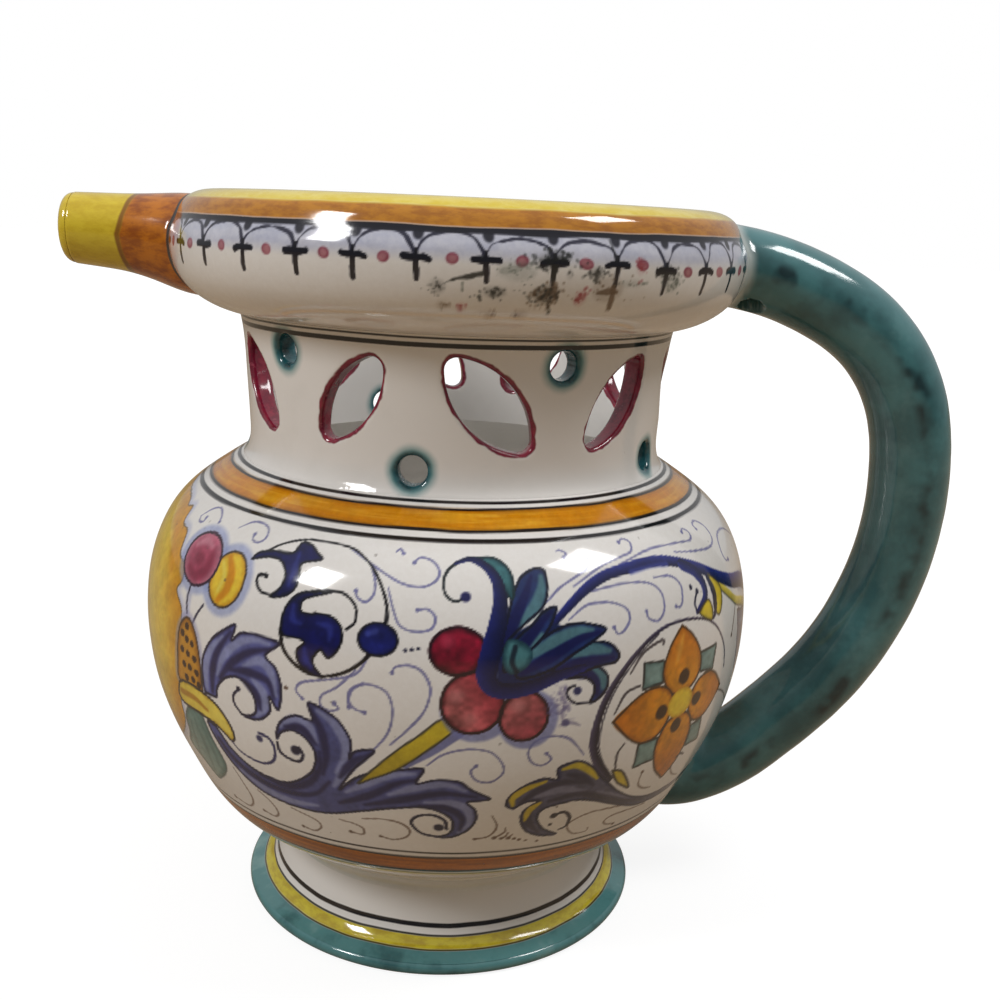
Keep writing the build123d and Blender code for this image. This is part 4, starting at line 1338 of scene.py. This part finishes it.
def paint_arcade(canvas):
    """Linked arches with a cross under each joint and a red berry in each arch."""
    scale = np.radians(1) * RIM_SCALE
    crosses = sorted(arch_angles())
    crosses.append(crosses[0] + 360)
    foot = [145.2 - 0.9 * smooth_step(386, 397, angle) for angle in crosses]
    random = np.random.default_rng(7)
    canvas.band(145.4, 151.5, (190, 193, 212), (174, 179, 204), grain=1.6, stretch=5, soft=2.6, opacity=0.75)
    for k, (angle, after) in enumerate(zip(crosses, crosses[1:])):
        x, end, low, next_low = angle * scale, after * scale, foot[k], foot[k + 1]
        middle, peak = (x + end) / 2, random.uniform(148.7, 149.6)
        shift = random.uniform(-0.3, 0.3, 6)
        arch = (
            (x + 0.1, low + 0.9), (x + 0.8, low + 2.3 + shift[0]), (x + 2.5, peak - 0.55), (middle, peak),
            (end - 2.5, peak - 0.6), (end - 0.9, next_low + 2.1 + shift[1]), (end - 0.1, next_low + 0.2),
        )
        canvas.stroke(arch, (0.35, 0.42, 0.55, 0.5, 0.55, 0.7, 0.8), (34, 34, 52), 0.92, soft=0.3,
            wobble=0.22)
        berry = canvas.ellipse((middle + shift[2], low - 0.1 + shift[3] * 0.6), (1.2 + shift[4] * 0.7, 0.95),
            random.uniform(-20, 20), 10)
        canvas.fill(berry, (168, 104, 112), 0.9, soft=0.4, pool=(138, 58, 76), pool_width=0.6)
        bar = ((x - 2.1, low - 0.1 + shift[0]), (x - 1.2, low), (x, low - 0.1), (x + 1.2, low),
            (x + 2.1, low - 0.1 + shift[1]))
        canvas.stroke(bar, (1.15, 1.3, 0.9, 1.3, 1.15), (26, 26, 36), wobble=0.2)
        shaft = (
            (x + shift[4] * 0.3, low + 1.3), (x, low - 0.5), (x + shift[2] * 0.4, low - 2.4),
            (x + shift[2] * 0.6, low - 3.7 + shift[3]),
        )
        canvas.stroke(shaft, (0.6, 1.0, 1.0, 0.85), (26, 26, 36), wobble=0.2)
        drop = canvas.ellipse((x + shift[5] * 2, 149.1), (0.95, 1.15), random.uniform(-25, 25), 8)
        canvas.fill(drop, (24, 24, 36), 0.92, soft=0.6)


def paint_smudges(canvas):
    """Where the wet paint was touched above the spout's right: blots, ghost crosses and drips."""
    scale = np.radians(1) * RIM_SCALE
    random = np.random.default_rng(23)
    dark, brown, red, sage = (34, 36, 34), (104, 82, 62), (160, 70, 76), (102, 110, 102)

    def at(angle):
        return (angle + 360) * scale

    for places, width, colour, opacity in (
        (((3.3, 142.8), (1, 142.4), (-1.7, 141.6), (-4.1, 140.2)), (1.1, 0.5, 0.25, 0.2), dark, 0.85),
        (((0.35, 141.3), (0.4, 140.1)), 0.3, sage, 0.7),
        (((6.6, 143.5), (9, 144), (10.6, 144.8), (12.2, 145.9)), (0.8, 1.3, 0.7, 0.4), sage, 0.3),
        (((15.1, 144.4), (14.9, 141.5)), (1.0, 0.7), dark, 0.8),
        (((14.7, 138.6), (15.3, 136.5)), (0.4, 0.7), dark, 0.85),
        (((23.1, 140.2), (25.2, 140.6), (26.8, 140.5)), (0.5, 1.1, 0.5), brown, 0.8),
        (((26, 141.4), (26.4, 137.6)), (0.9, 0.7), brown, 0.8),
        (((25, 149), (26, 146)), (0.6, 0.8), dark, 0.6),
    ):
        canvas.stroke([(at(angle), z) for angle, z in places], width, colour, opacity, soft=0.4, wobble=0.35)
    for angle, z, across, up, count, size, colour in (
        (14.8, 145.7, 1.9, 0.9, 60, 0.38, dark), (14.2, 139.8, 1.5, 1.1, 70, 0.34, brown),
        (13.8, 139.9, 1.6, 0.9, 26, 0.3, dark), (5.6, 140, 1.5, 0.5, 22, 0.3, dark),
        (-2.9, 137.5, 0.7, 0.25, 9, 0.3, brown), (0.3, 137.3, 0.5, 0.3, 6, 0.3, red),
        (22.5, 143.6, 1.1, 0.6, 26, 0.28, dark), (20.3, 139.4, 0.8, 0.8, 20, 0.34, red),
        (29.6, 142, 1.8, 0.25, 12, 0.25, sage), (38.6, 142.2, 1.6, 1.1, 34, 0.3, sage),
        (36.7, 143.9, 1.4, 0.8, 30, 0.32, dark), (31, 145, 0.7, 0.9, 12, 0.3, red),
        (10.4, 136.3, 1.0, 0.3, 8, 0.25, brown), (5, 136, 0.6, 0.3, 6, 0.25, brown),
        (25, 141, 2.4, 1.5, 16, 0.2, brown), (9, 143.6, 2.6, 1.0, 24, 0.22, sage),
        (17.7, 143.4, 0.3, 0.3, 4, 0.3, dark), (-3.6, 140.6, 1.0, 0.7, 12, 0.22, dark),
    ):
        canvas.fill(canvas.ellipse((at(angle), z), (across * 1.3, up * 1.3 + 0.3)), colour, 0.2, soft=1.2)
        for _ in range(int(count * 1.5)):
            spot = (at(angle) + random.normal(0, across), z + random.normal(0, up))
            canvas.dot(spot, size * random.uniform(0.3, 1.0), colour, random.uniform(0.25, 0.7), soft=0.4)


def make_rim(finish):
    hidden = np.linspace(90, 270, HIDDEN_COLUMNS, endpoint=False)
    angles = np.concatenate((hidden, np.linspace(270, 450, SEEN_COLUMNS, endpoint=False)))
    run = run_length(rim_skin)
    painted = np.interp(137.6, rim_skin[:, 1], run)
    places = np.concatenate((np.linspace(0, painted, 14, endpoint=False), np.linspace(painted, run[-1], 50)))
    outer = resample(rim_skin, places)
    mouth = resample(rim_mouth, np.linspace(0, run_length(rim_mouth)[-1], 8))
    canvas = Canvas(np.radians(angles) * RIM_SCALE, outer[:, 1], WHITE, seed=90)
    paint_arcade(canvas)
    paint_smudges(canvas)
    canvas.band(149.35, 150.9, (24, 24, 36), soft=0.35, wobble=0.25)
    plain = np.broadcast_to(np.array(WHITE, float), (len(mouth), len(angles), 3))
    colours = np.concatenate((canvas.colour, plain))
    rim = turned("rim", np.vstack((outer, mouth)), finish, angles, colours, paint=True)
    return place(rim, "rim_glaze", "rim_channel")


def make_cap(finish):
    profile = resample(cap_skin, np.linspace(0, run_length(cap_skin)[-1], 64))
    return place(turned("rim_top", profile, finish, CAP_COLUMNS), "rim_top_glaze", "rim_cap")


# -------------------- the pierced neck
NECK_VOXEL = 0.48
EDGE_ROUND = 1.1
NECK_STRETCH, NECK_END = 2, 0.05
FACE_DEPTH, FACE_FADE = 1.2, 0.8
SETTLE_ROUNDS = 4
FAR = 99.0


def lens_distance(across, up, length, width):
    """Distance to a leaf outline: two arcs with rounded tips."""
    half_long, half_wide = length / 2 + LEAF_TIP_REACH, width / 2
    arc = (half_long**2 + half_wide**2) / (2 * half_wide)
    back = arc - half_wide
    arc -= LEAF_TIP_RADIUS
    tip = np.sqrt(arc**2 - back**2)
    x, y = abs(across), abs(up)
    beyond = (y - tip) * back > x * tip
    return np.where(beyond, np.hypot(x, y - tip), np.hypot(x + back, y) - arc) - LEAF_TIP_RADIUS


def faced(points, angle):
    """How far the points lie to the right and outward, seen straight at that angle round the neck."""
    turn = np.radians(angle)
    right = points[:, 0] * np.cos(turn) + points[:, 1] * np.sin(turn)
    return right, points[:, 0] * np.sin(turn) - points[:, 1] * np.cos(turn)


def cut_distances(points):
    """Distances to the nearest leaf cut and to the nearest round piercing, measured flat across each."""
    leaf = np.full(len(points), FAR)
    for angle, length, width, lean in LEAF_CUTS:
        across, outward = faced(points, angle)
        cos, sin = np.cos(np.radians(lean)), np.sin(np.radians(lean))
        up = points[:, 2] - LEAF_MIDDLE_Z
        flat = lens_distance(across * cos + up * sin, up * cos - across * sin, length, width)
        leaf = np.where(outward > 0, np.minimum(leaf, flat), leaf)
    hole = np.full(len(points), FAR)
    for k in range(len(LEAF_CUTS)):
        across, outward = faced(points, FIRST_PIERCING + PIERCING_STEP * k)
        gap = np.hypot(across, points[:, 2] - PIERCING_ROWS_Z[k % 2]) - PIERCING_RADIUS
        hole = np.where(outward > 0, np.minimum(hole, gap), hole)
    return leaf, hole


def neck_distance(points):
    radius = np.hypot(points[:, 0], points[:, 1])
    outer = np.interp(points[:, 2], neck_skin[:, 1], neck_skin[:, 0])
    inner = np.interp(points[:, 2], neck_inside[:, 1], neck_inside[:, 0])
    wall = np.maximum(radius - outer, inner - radius)
    cut = -np.minimum(*cut_distances(points))
    blend = np.maximum(EDGE_ROUND - abs(wall - cut), 0) / EDGE_ROUND
    return np.maximum(wall, cut) + blend**2 * EDGE_ROUND / 4


def settle(points, distance):
    """Moves points on to the surface where the distance is nothing."""
    nudge = 0.02
    for _ in range(SETTLE_ROUNDS):
        gap = distance(points)
        slope = np.stack([distance(points + nudge * axis) - gap for axis in np.eye(3)], 1) / nudge
        slope /= np.maximum(np.linalg.norm(slope, axis=1), 0.3)[:, None] ** 2
        points = points - 0.9 * gap[:, None] * slope
    return points


def coordinates(mesh):
    flat = np.empty(len(mesh.vertices) * 3, np.float32)
    mesh.vertices.foreach_get("co", flat)
    return flat.reshape(-1, 3).astype(float) / MM


def write_coordinates(mesh, points):
    mesh.vertices.foreach_set("co", (points * MM).astype(np.float32).ravel())
    mesh.update()


def applied(piece):
    """The mesh that a piece's modifiers make, as plain data."""
    evaluated = piece.evaluated_get(bpy.context.evaluated_depsgraph_get())
    return bpy.data.meshes.new_from_object(evaluated)


def make_neck(finish):
    """The solid's own neck, remeshed so that its cut edges can be rounded and painted."""
    mesh = bpy.data.objects["pierced_neck"].data.copy()
    work = bmesh.new()
    work.from_mesh(mesh)
    bmesh.ops.remove_doubles(work, verts=work.verts, dist=0.000002)
    for vertex in work.verts:
        if vertex.co.z < (SHOULDER_Z + NECK_END) * MM:
            vertex.co.z -= NECK_STRETCH * MM
        elif vertex.co.z > (NECK_TOP_Z - NECK_END) * MM:
            vertex.co.z += NECK_STRETCH * MM
    work.to_mesh(mesh)
    work.free()
    rough = new_object("neck_rough", mesh)
    remesh = rough.modifiers.new("remesh", "REMESH")
    remesh.mode = "VOXEL"
    remesh.voxel_size = NECK_VOXEL * MM
    mesh = applied(rough)
    bpy.data.objects.remove(rough)
    write_coordinates(mesh, settle(coordinates(mesh), neck_distance))
    work = bmesh.new()
    work.from_mesh(mesh)
    for height, up in ((SHOULDER_Z, -1), (NECK_TOP_Z, 1)):
        geometry = work.verts[:] + work.edges[:] + work.faces[:]
        level = height * MM
        bmesh.ops.bisect_plane(work, geom=geometry, plane_co=(0, 0, level), plane_no=(0, 0, up),
            clear_outer=True)
        rims = [edge for edge in work.edges if edge.is_boundary and abs(edge.verts[0].co.z - level) < 0.00001]
        bmesh.ops.bridge_loops(work, edges=rims)
    bmesh.ops.triangulate(work, faces=[face for face in work.faces if len(face.verts) > 4])
    work.to_mesh(mesh)
    work.free()
    points = coordinates(mesh)
    leaf, hole = cut_distances(points)
    middle = np.interp(points[:, 2], neck_skin[:, 1], neck_skin[:, 0]) - FACE_DEPTH
    outer = np.clip((np.hypot(points[:, 0], points[:, 1]) - middle) / FACE_FADE, 0, 1)
    for name, values in (("leaf_gap", leaf), ("hole_gap", hole), ("outer_face", outer)):
        write_values(mesh, name, values)
    return place(finish_mesh("neck", mesh, finish, sharp=60), "neck_glaze", "pierced_neck")


# -------------------- the handle
HIDDEN_DEPTH = 2.2
HANDLE_TUBE = {
    "Step": 0.52 * MM, "Radius": HANDLE_RADIUS * MM, "Sides": 132, "Unevenness": 0.35 * MM, "Lump Size": 85.0,
}
FINGER_HOLE_PLACE, FINGER_HOLE_DEPTH = 0.062, 5.0
FINGER_HOLE_RADII = (2.0, 2.75)
FINGER_HOLE_WAY = (0, -0.5, -0.866)
JUG_SKIN = np.vstack((belly_skin, neck_skin[1:], rim_skin[1:], cap_skin[1:]))


def gap_to(skin, points):
    """Each point's distance outside a turned skin, the skin's nearest place and the outward way there."""
    flat = np.column_stack((np.hypot(points[:, 0], points[:, 1]), points[:, 2]))
    starts, runs = skin[:-1], np.diff(skin, axis=0)
    spans = np.hypot(*runs.T)
    best = np.full(len(flat), 1e9)
    side, near, way = np.ones(len(flat)), np.zeros_like(flat), np.zeros_like(flat)
    for start, run, span in zip(starts, runs, spans):
        t = np.clip((flat - start) @ run / span**2, 0, 1)
        place_on = start + t[:, None] * run
        gap = np.hypot(*(flat - place_on).T)
        closer = gap < best
        best = np.where(closer, gap, best)
        outward = np.array((run[1], -run[0])) / span
        side = np.where(closer, np.sign((flat - place_on) @ outward), side)
        near[closer], way[closer] = place_on[closer], outward
    clear = best > 0.2
    way[clear] = ((flat - near) * (side / np.maximum(best, 0.2))[:, None])[clear]
    return best * side, near, way


def round_axis(flat, points):
    """Turns rows of (radius, height) about the jug's axis to the sides where the points lie."""
    turn = np.arctan2(points[:, 1], points[:, 0])
    return np.column_stack((flat[:, 0] * np.cos(turn), flat[:, 0] * np.sin(turn), flat[:, 1]))


def swollen(points, spread, radius):
    """Pushes a tube's points out, along spread, to the round fillet that joins it to the jug."""
    gap, near, way = gap_to(JUG_SKIN, points)
    normal = round_axis(way, points)
    lean = np.clip((spread * normal).sum(1), -0.3, 0.97)
    steep = np.sqrt(1 - lean**2)
    slide = np.clip((radius * (1 - lean) - gap) / steep, 0, radius * steep)
    return points + spread * (radius - np.sqrt(radius**2 - slide**2))[:, None]


def build_tube_tree():
    """Geometry nodes: a round, slightly uneven tube along a line, with its length stored on its points."""
    tree = bpy.data.node_groups.new("rolled_tube", "GeometryNodeTree")
    tree.is_modifier = True
    sockets = {}
    for title, kind in (("Geometry", "Geometry"), ("Step", "Float"), ("Radius", "Float"), ("Sides", "Int"),
                        ("Unevenness", "Float"), ("Lump Size", "Float"), ("Finish", "Material")):
        socket = tree.interface.new_socket(title, in_out="INPUT", socket_type="NodeSocket" + kind)
        sockets[title] = socket.identifier
    tree.interface.new_socket("Geometry", in_out="OUTPUT", socket_type="NodeSocketGeometry")
    given = tree.nodes.new("NodeGroupInput").outputs
    even = wired(tree, "GeometryNodeResampleCurve", {"mode": "LENGTH"}, Curve=given["Geometry"],
        Length=given["Step"])
    length = wired(tree, "GeometryNodeSplineParameter").outputs["Length"]
    line = wired(tree, "GeometryNodeStoreNamedAttribute", {"data_type": "FLOAT", "domain": "POINT"},
                 Name="along", Geometry=even.outputs["Curve"], Value=length)
    ring = wired(tree, "GeometryNodeCurvePrimitiveCircle", Resolution=given["Sides"], Radius=given["Radius"])
    tube = wired(tree, "GeometryNodeCurveToMesh", Fill_Caps=True, Curve=line.outputs["Geometry"],
                 Profile_Curve=ring.outputs["Curve"])
    lumps = wired(tree, "ShaderNodeTexNoise", Scale=given["Lump Size"])
    inward = times(tree, times(tree, lumps.outputs["Fac"], given["Unevenness"]), -1.0)
    normal = wired(tree, "GeometryNodeInputNormal").outputs["Normal"]
    shift = wired(tree, "ShaderNodeVectorMath", {"operation": "SCALE"}, Vector=normal, Scale=inward)
    moved = wired(tree, "GeometryNodeSetPosition", Geometry=tube.outputs["Mesh"], Offset=shift.outputs[0])
    whole = wired(tree, "GeometryNodeRealizeInstances", Geometry=moved.outputs["Geometry"])
    dressed = wired(tree, "GeometryNodeSetMaterial", Geometry=whole.outputs["Geometry"],
        Material=given["Finish"])
    wired(tree, "NodeGroupOutput", Geometry=dressed.outputs["Geometry"])
    return tree, sockets


def tube_along(name, line, finish, values):
    """Runs the tube tree along a line of points and returns the plain mesh."""
    curve = bpy.data.curves.new(name, "CURVE")
    curve.dimensions = "3D"
    spline = curve.splines.new("POLY")
    spline.points.add(len(line) - 1)
    for point, where in zip(spline.points, line):
        point.co = (where[0] * MM, 0, where[1] * MM, 1)
    carrier = new_object(name, curve)
    tree, sockets = build_tube_tree()
    modifier = carrier.modifiers.new("tube", "NODES")
    modifier.node_group = tree
    for title, value in {**values, "Finish": finish}.items():
        modifier[sockets[title]] = value
    mesh = applied(carrier)
    bpy.data.objects.remove(carrier)
    return mesh


def make_handle(finish):
    """The tube with a round fillet at each end, its hidden ends drawn in just under the jug's skin."""
    line = curve_through(HANDLE_LINE)
    mesh = tube_along("handle_tube", line, finish, HANDLE_TUBE)
    points = coordinates(mesh)
    along = np.empty(len(points), np.float32)
    mesh.attributes["along"].data.foreach_get("value", along)
    along = along.astype(float) / MM
    run = run_length(line)
    middle = np.insert(at_lengths(line, run, along), 1, 0, axis=1)
    way = at_lengths(np.gradient(line, run, axis=0), run, along)
    way /= np.hypot(*way.T)[:, None]
    offset = points - middle
    outward = (offset[:, 0] * -way[:, 1] + offset[:, 2] * way[:, 0]) / HANDLE_RADIUS
    spread = offset / np.linalg.norm(offset, axis=1)[:, None]
    points = swollen(points, spread, LUTE_RADIUS)
    depth, near, normal = gap_to(JUG_SKIN, points)
    sunk = depth < -HIDDEN_DEPTH
    points[sunk] = round_axis(near[sunk] - HIDDEN_DEPTH * normal[sunk], points[sunk])
    points = press_finger_hole(points, line)
    write_coordinates(mesh, points)
    for name, value in (("outward", outward), ("joint_gap", np.maximum(depth, 0)), ("length", along)):
        write_values(mesh, name, value)
    tube = finish_mesh("handle_tube", mesh, finish, sharp=70)
    return place(tube, "handle_glaze", "handle", "upper_lute", "lower_lute")


def press_finger_hole(points, line):
    """The small hole under the handle, near the rim, that a finger has to close."""
    start = resample(line, [FINGER_HOLE_PLACE * run_length(line)[-1]])[0]
    axis = np.array(FINGER_HOLE_WAY)
    offset = points - np.array((start[0], 0, start[1]))
    height = offset @ axis
    gap = np.linalg.norm(offset - height[:, None] * axis, axis=1)
    depth = FINGER_HOLE_DEPTH * (1 - smooth_step(*FINGER_HOLE_RADII, gap)) * (height > 0)
    return points - depth[:, None] * axis


# -------------------- the spout
SPOUT_ROOT_X = -50
SPOUT_BORE = 3.7
SPOUT_TIP_ROUND = 1.9
SPOUT_FILLET = 1.6
SPOUT_OUTER_RINGS, SPOUT_SIDES = 90, 160


def make_spout(finish):
    """The nozzle: its outside with a fillet at the root, the rounded tip and the bore behind it."""
    rings = np.array(SPOUT_RINGS)
    tip, tip_radius = rings[0, 0], rings[0, 2]
    radius_line = curve_through(rings[:, [0, 2]])
    height_line = curve_through(rings[:, [0, 1]])
    outside_x = np.linspace(SPOUT_ROOT_X, tip + 2.2, SPOUT_OUTER_RINGS)
    outer = [(x, np.interp(x, radius_line[:, 0], radius_line[:, 1])) for x in outside_x]
    turn = np.radians(np.linspace(90, 0, 9))
    back = tip + SPOUT_TIP_ROUND - SPOUT_TIP_ROUND * np.sin(turn)
    round_tip = [(x, tip_radius + drop) for x, drop in zip(back,
        -SPOUT_TIP_ROUND + SPOUT_TIP_ROUND * np.cos(turn))]
    face = [(tip, 4.6), (tip + 0.15, 4.1), (tip + 0.55, 3.8)]
    bore = [(x, SPOUT_BORE) for x in (tip + 1.2, tip + 6, tip + 14, -60, SPOUT_ROOT_X)]
    profile = np.array(outer + round_tip + face + bore)
    angles = np.radians(np.linspace(0, 360, SPOUT_SIDES, endpoint=False))
    centre = np.interp(profile[:, 0], height_line[:, 0], height_line[:, 1])
    x = np.repeat(profile[:, :1], SPOUT_SIDES, 1)
    y = profile[:, 1:] * np.sin(angles)[None, :]
    z = centre[:, None] + profile[:, 1:] * np.cos(angles)[None, :]
    grid = np.stack((x, y, z), -1)
    outside = grid[:SPOUT_OUTER_RINGS]
    spread = np.stack(np.broadcast_arrays(0, np.sin(angles)[None, :], np.cos(angles)[None, :]), -1)
    spread = np.broadcast_to(spread, outside.shape).reshape(-1, 3)
    outside[:] = swollen(outside.reshape(-1, 3), spread, SPOUT_FILLET).reshape(outside.shape)
    gap = gap_to(JUG_SKIN, grid.reshape(-1, 3))[0].reshape(x.shape)
    shell = Shell()
    numbers = shell.add(grid, np.maximum(gap, 0))
    numbers = np.hstack((numbers, numbers[:, :1]))
    shell.skin(np.vstack((numbers, numbers[:1])))
    return place(shell.piece("spout_nozzle", finish, sharp=60), "spout_glaze", "spout")


# -------------------- camera, floor and light
CAMERA_PLACE = (0, -252.512, 151.556)
CAMERA_PITCH, CAMERA_YAW, CAMERA_ROLL = 13.5867, 2.4257, 2.5758
CAMERA_LENS = 41.594
LAMP_AIM = (0, 0, 0.09)
FLOOR_FADE, FLOOR_NEAR_WHITE = (0.15, 0.7), 0.86
FLOOR_PAPER, FLOOR_BOUNCE = (0.22, 0.22, 0.22, 1), (0.32, 0.23, 0.14, 1)
FLOOR_IN_GLOSS, WORLD_IN_GLOSS = 0.06, 0.12
CEILING_WAY, WORLD_LIGHT = (0, 0.35, 0.94), (0.10, 0.58)


def make_camera():
    pitch, yaw, roll = np.radians((CAMERA_PITCH, CAMERA_YAW, CAMERA_ROLL))
    ahead = np.array((np.sin(yaw) * np.cos(pitch), np.cos(yaw) * np.cos(pitch), -np.sin(pitch)))
    level = np.array((np.cos(yaw), -np.sin(yaw), 0))
    upright = np.cross(level, ahead)
    right = np.cos(roll) * level + np.sin(roll) * upright
    up = -np.sin(roll) * level + np.cos(roll) * upright
    data = bpy.data.cameras.new("camera")
    data.lens, data.sensor_width = CAMERA_LENS, 36
    data.clip_start, data.clip_end = 0.01, 50
    camera = new_object("camera", data)
    turn = Matrix((right, up, -ahead)).transposed().to_4x4()
    camera.matrix_world = Matrix.Translation(Vector(CAMERA_PLACE) * MM) @ turn
    bpy.context.scene.camera = camera


def add_lamp(name, where, size, power):
    data = bpy.data.lights.new(name, "AREA")
    data.shape = "RECTANGLE"
    data.size, data.size_y = size
    data.energy = power
    lamp = new_object(name, data)
    lamp.location = where
    lamp.rotation_euler = (Vector(LAMP_AIM) - Vector(where)).to_track_quat("-Z", "Y").to_euler()


def rays(tree):
    """Whether a ray comes from the camera, from the camera or through glass, and from a reflection."""
    path = tree.nodes.new("ShaderNodeLightPath").outputs
    camera = path["Is Camera Ray"]
    return camera, larger(tree, camera, path["Is Transmission Ray"]), path["Is Glossy Ray"]


def make_floor():
    """A white floor for the camera, greyer in reflections, and warm and dim where it only lights the jug."""
    material = bpy.data.materials.new("studio_floor")
    material.use_nodes = True
    tree = material.node_tree
    tree.nodes.remove(tree.nodes["Principled BSDF"])
    camera, seen, glossy = rays(tree)
    place_on = tree.nodes.new("ShaderNodeTexCoord").outputs["Object"]
    away = wired(tree, "ShaderNodeVectorMath", {"operation": "LENGTH"}, Vector=place_on)
    white = remap(tree, away.outputs["Value"], *FLOOR_FADE, FLOOR_NEAR_WHITE, 1.0)
    strength = larger(tree, times(tree, seen, white), times(tree, glossy, FLOOR_IN_GLOSS))
    glow = wired(tree, "ShaderNodeEmission", Color=(1, 1, 1, 1), Strength=strength)
    paper = wired(tree, "ShaderNodeBsdfDiffuse", Color=FLOOR_PAPER)
    dim = wired(tree, "ShaderNodeBsdfDiffuse", Color=FLOOR_BOUNCE)
    choose = tree.nodes.new("ShaderNodeMixShader")
    both = tree.nodes.new("ShaderNodeAddShader")
    for k, value in enumerate((camera, dim.outputs[0], paper.outputs[0])):
        tree.links.new(value, choose.inputs[k])
    for k, value in enumerate((glow, choose)):
        tree.links.new(value.outputs[0], both.inputs[k])
    tree.links.new(both.outputs[0], tree.nodes["Material Output"].inputs["Surface"])
    mesh = bpy.data.meshes.new("studio_floor")
    mesh.from_pydata(((-6, -6, 0), (6, -6, 0), (6, 6, 0), (-6, 6, 0)), [], ((0, 1, 2, 3),))
    mesh.materials.append(material)
    new_object("studio_floor", mesh)


def make_world():
    """White to the camera, and a soft light from above and behind on everything else."""
    world = bpy.data.worlds.new("studio")
    bpy.context.scene.world = world
    world.use_nodes = True
    tree = world.node_tree
    ceiling = wired(tree, "ShaderNodeVectorMath", {"operation": "DOT_PRODUCT"})
    ceiling.inputs[1].default_value = CEILING_WAY
    tree.links.new(tree.nodes.new("ShaderNodeTexCoord").outputs["Generated"], ceiling.inputs[0])
    soft = remap(tree, ceiling.outputs["Value"], -0.35, 0.95, *WORLD_LIGHT)
    camera, seen, glossy = rays(tree)
    strength = larger(tree, seen, larger(tree, soft, times(tree, glossy, WORLD_IN_GLOSS)))
    background = tree.nodes["Background"]
    background.inputs["Color"].default_value = (1, 1, 1, 1)
    tree.links.new(strength, background.inputs["Strength"])


def make_lights():
    add_lamp("window_left", (-0.74, -0.50, 0.77), (0.22, 0.30), 5.0)
    add_lamp("window_right", (0.65, -0.14, 0.97), (0.37, 0.27), 4.6)


# -------------------- the jug put together
def main():
    bpy.context.scene.view_settings.view_transform = "Standard"
    painted = painted_finish()
    make_belly(painted)
    make_belly_floor(painted)
    make_rim(painted)
    make_cap(banded_finish("rim_top_glaze", CAP_BANDS))
    make_foot(banded_finish("foot_glaze", FOOT_BANDS, mottled=(FOOT_GREEN,)))
    make_neck(neck_finish())
    make_handle(handle_finish())
    make_spout(spout_finish())
    make_camera()
    make_floor()
    make_world()
    make_lights()


main()
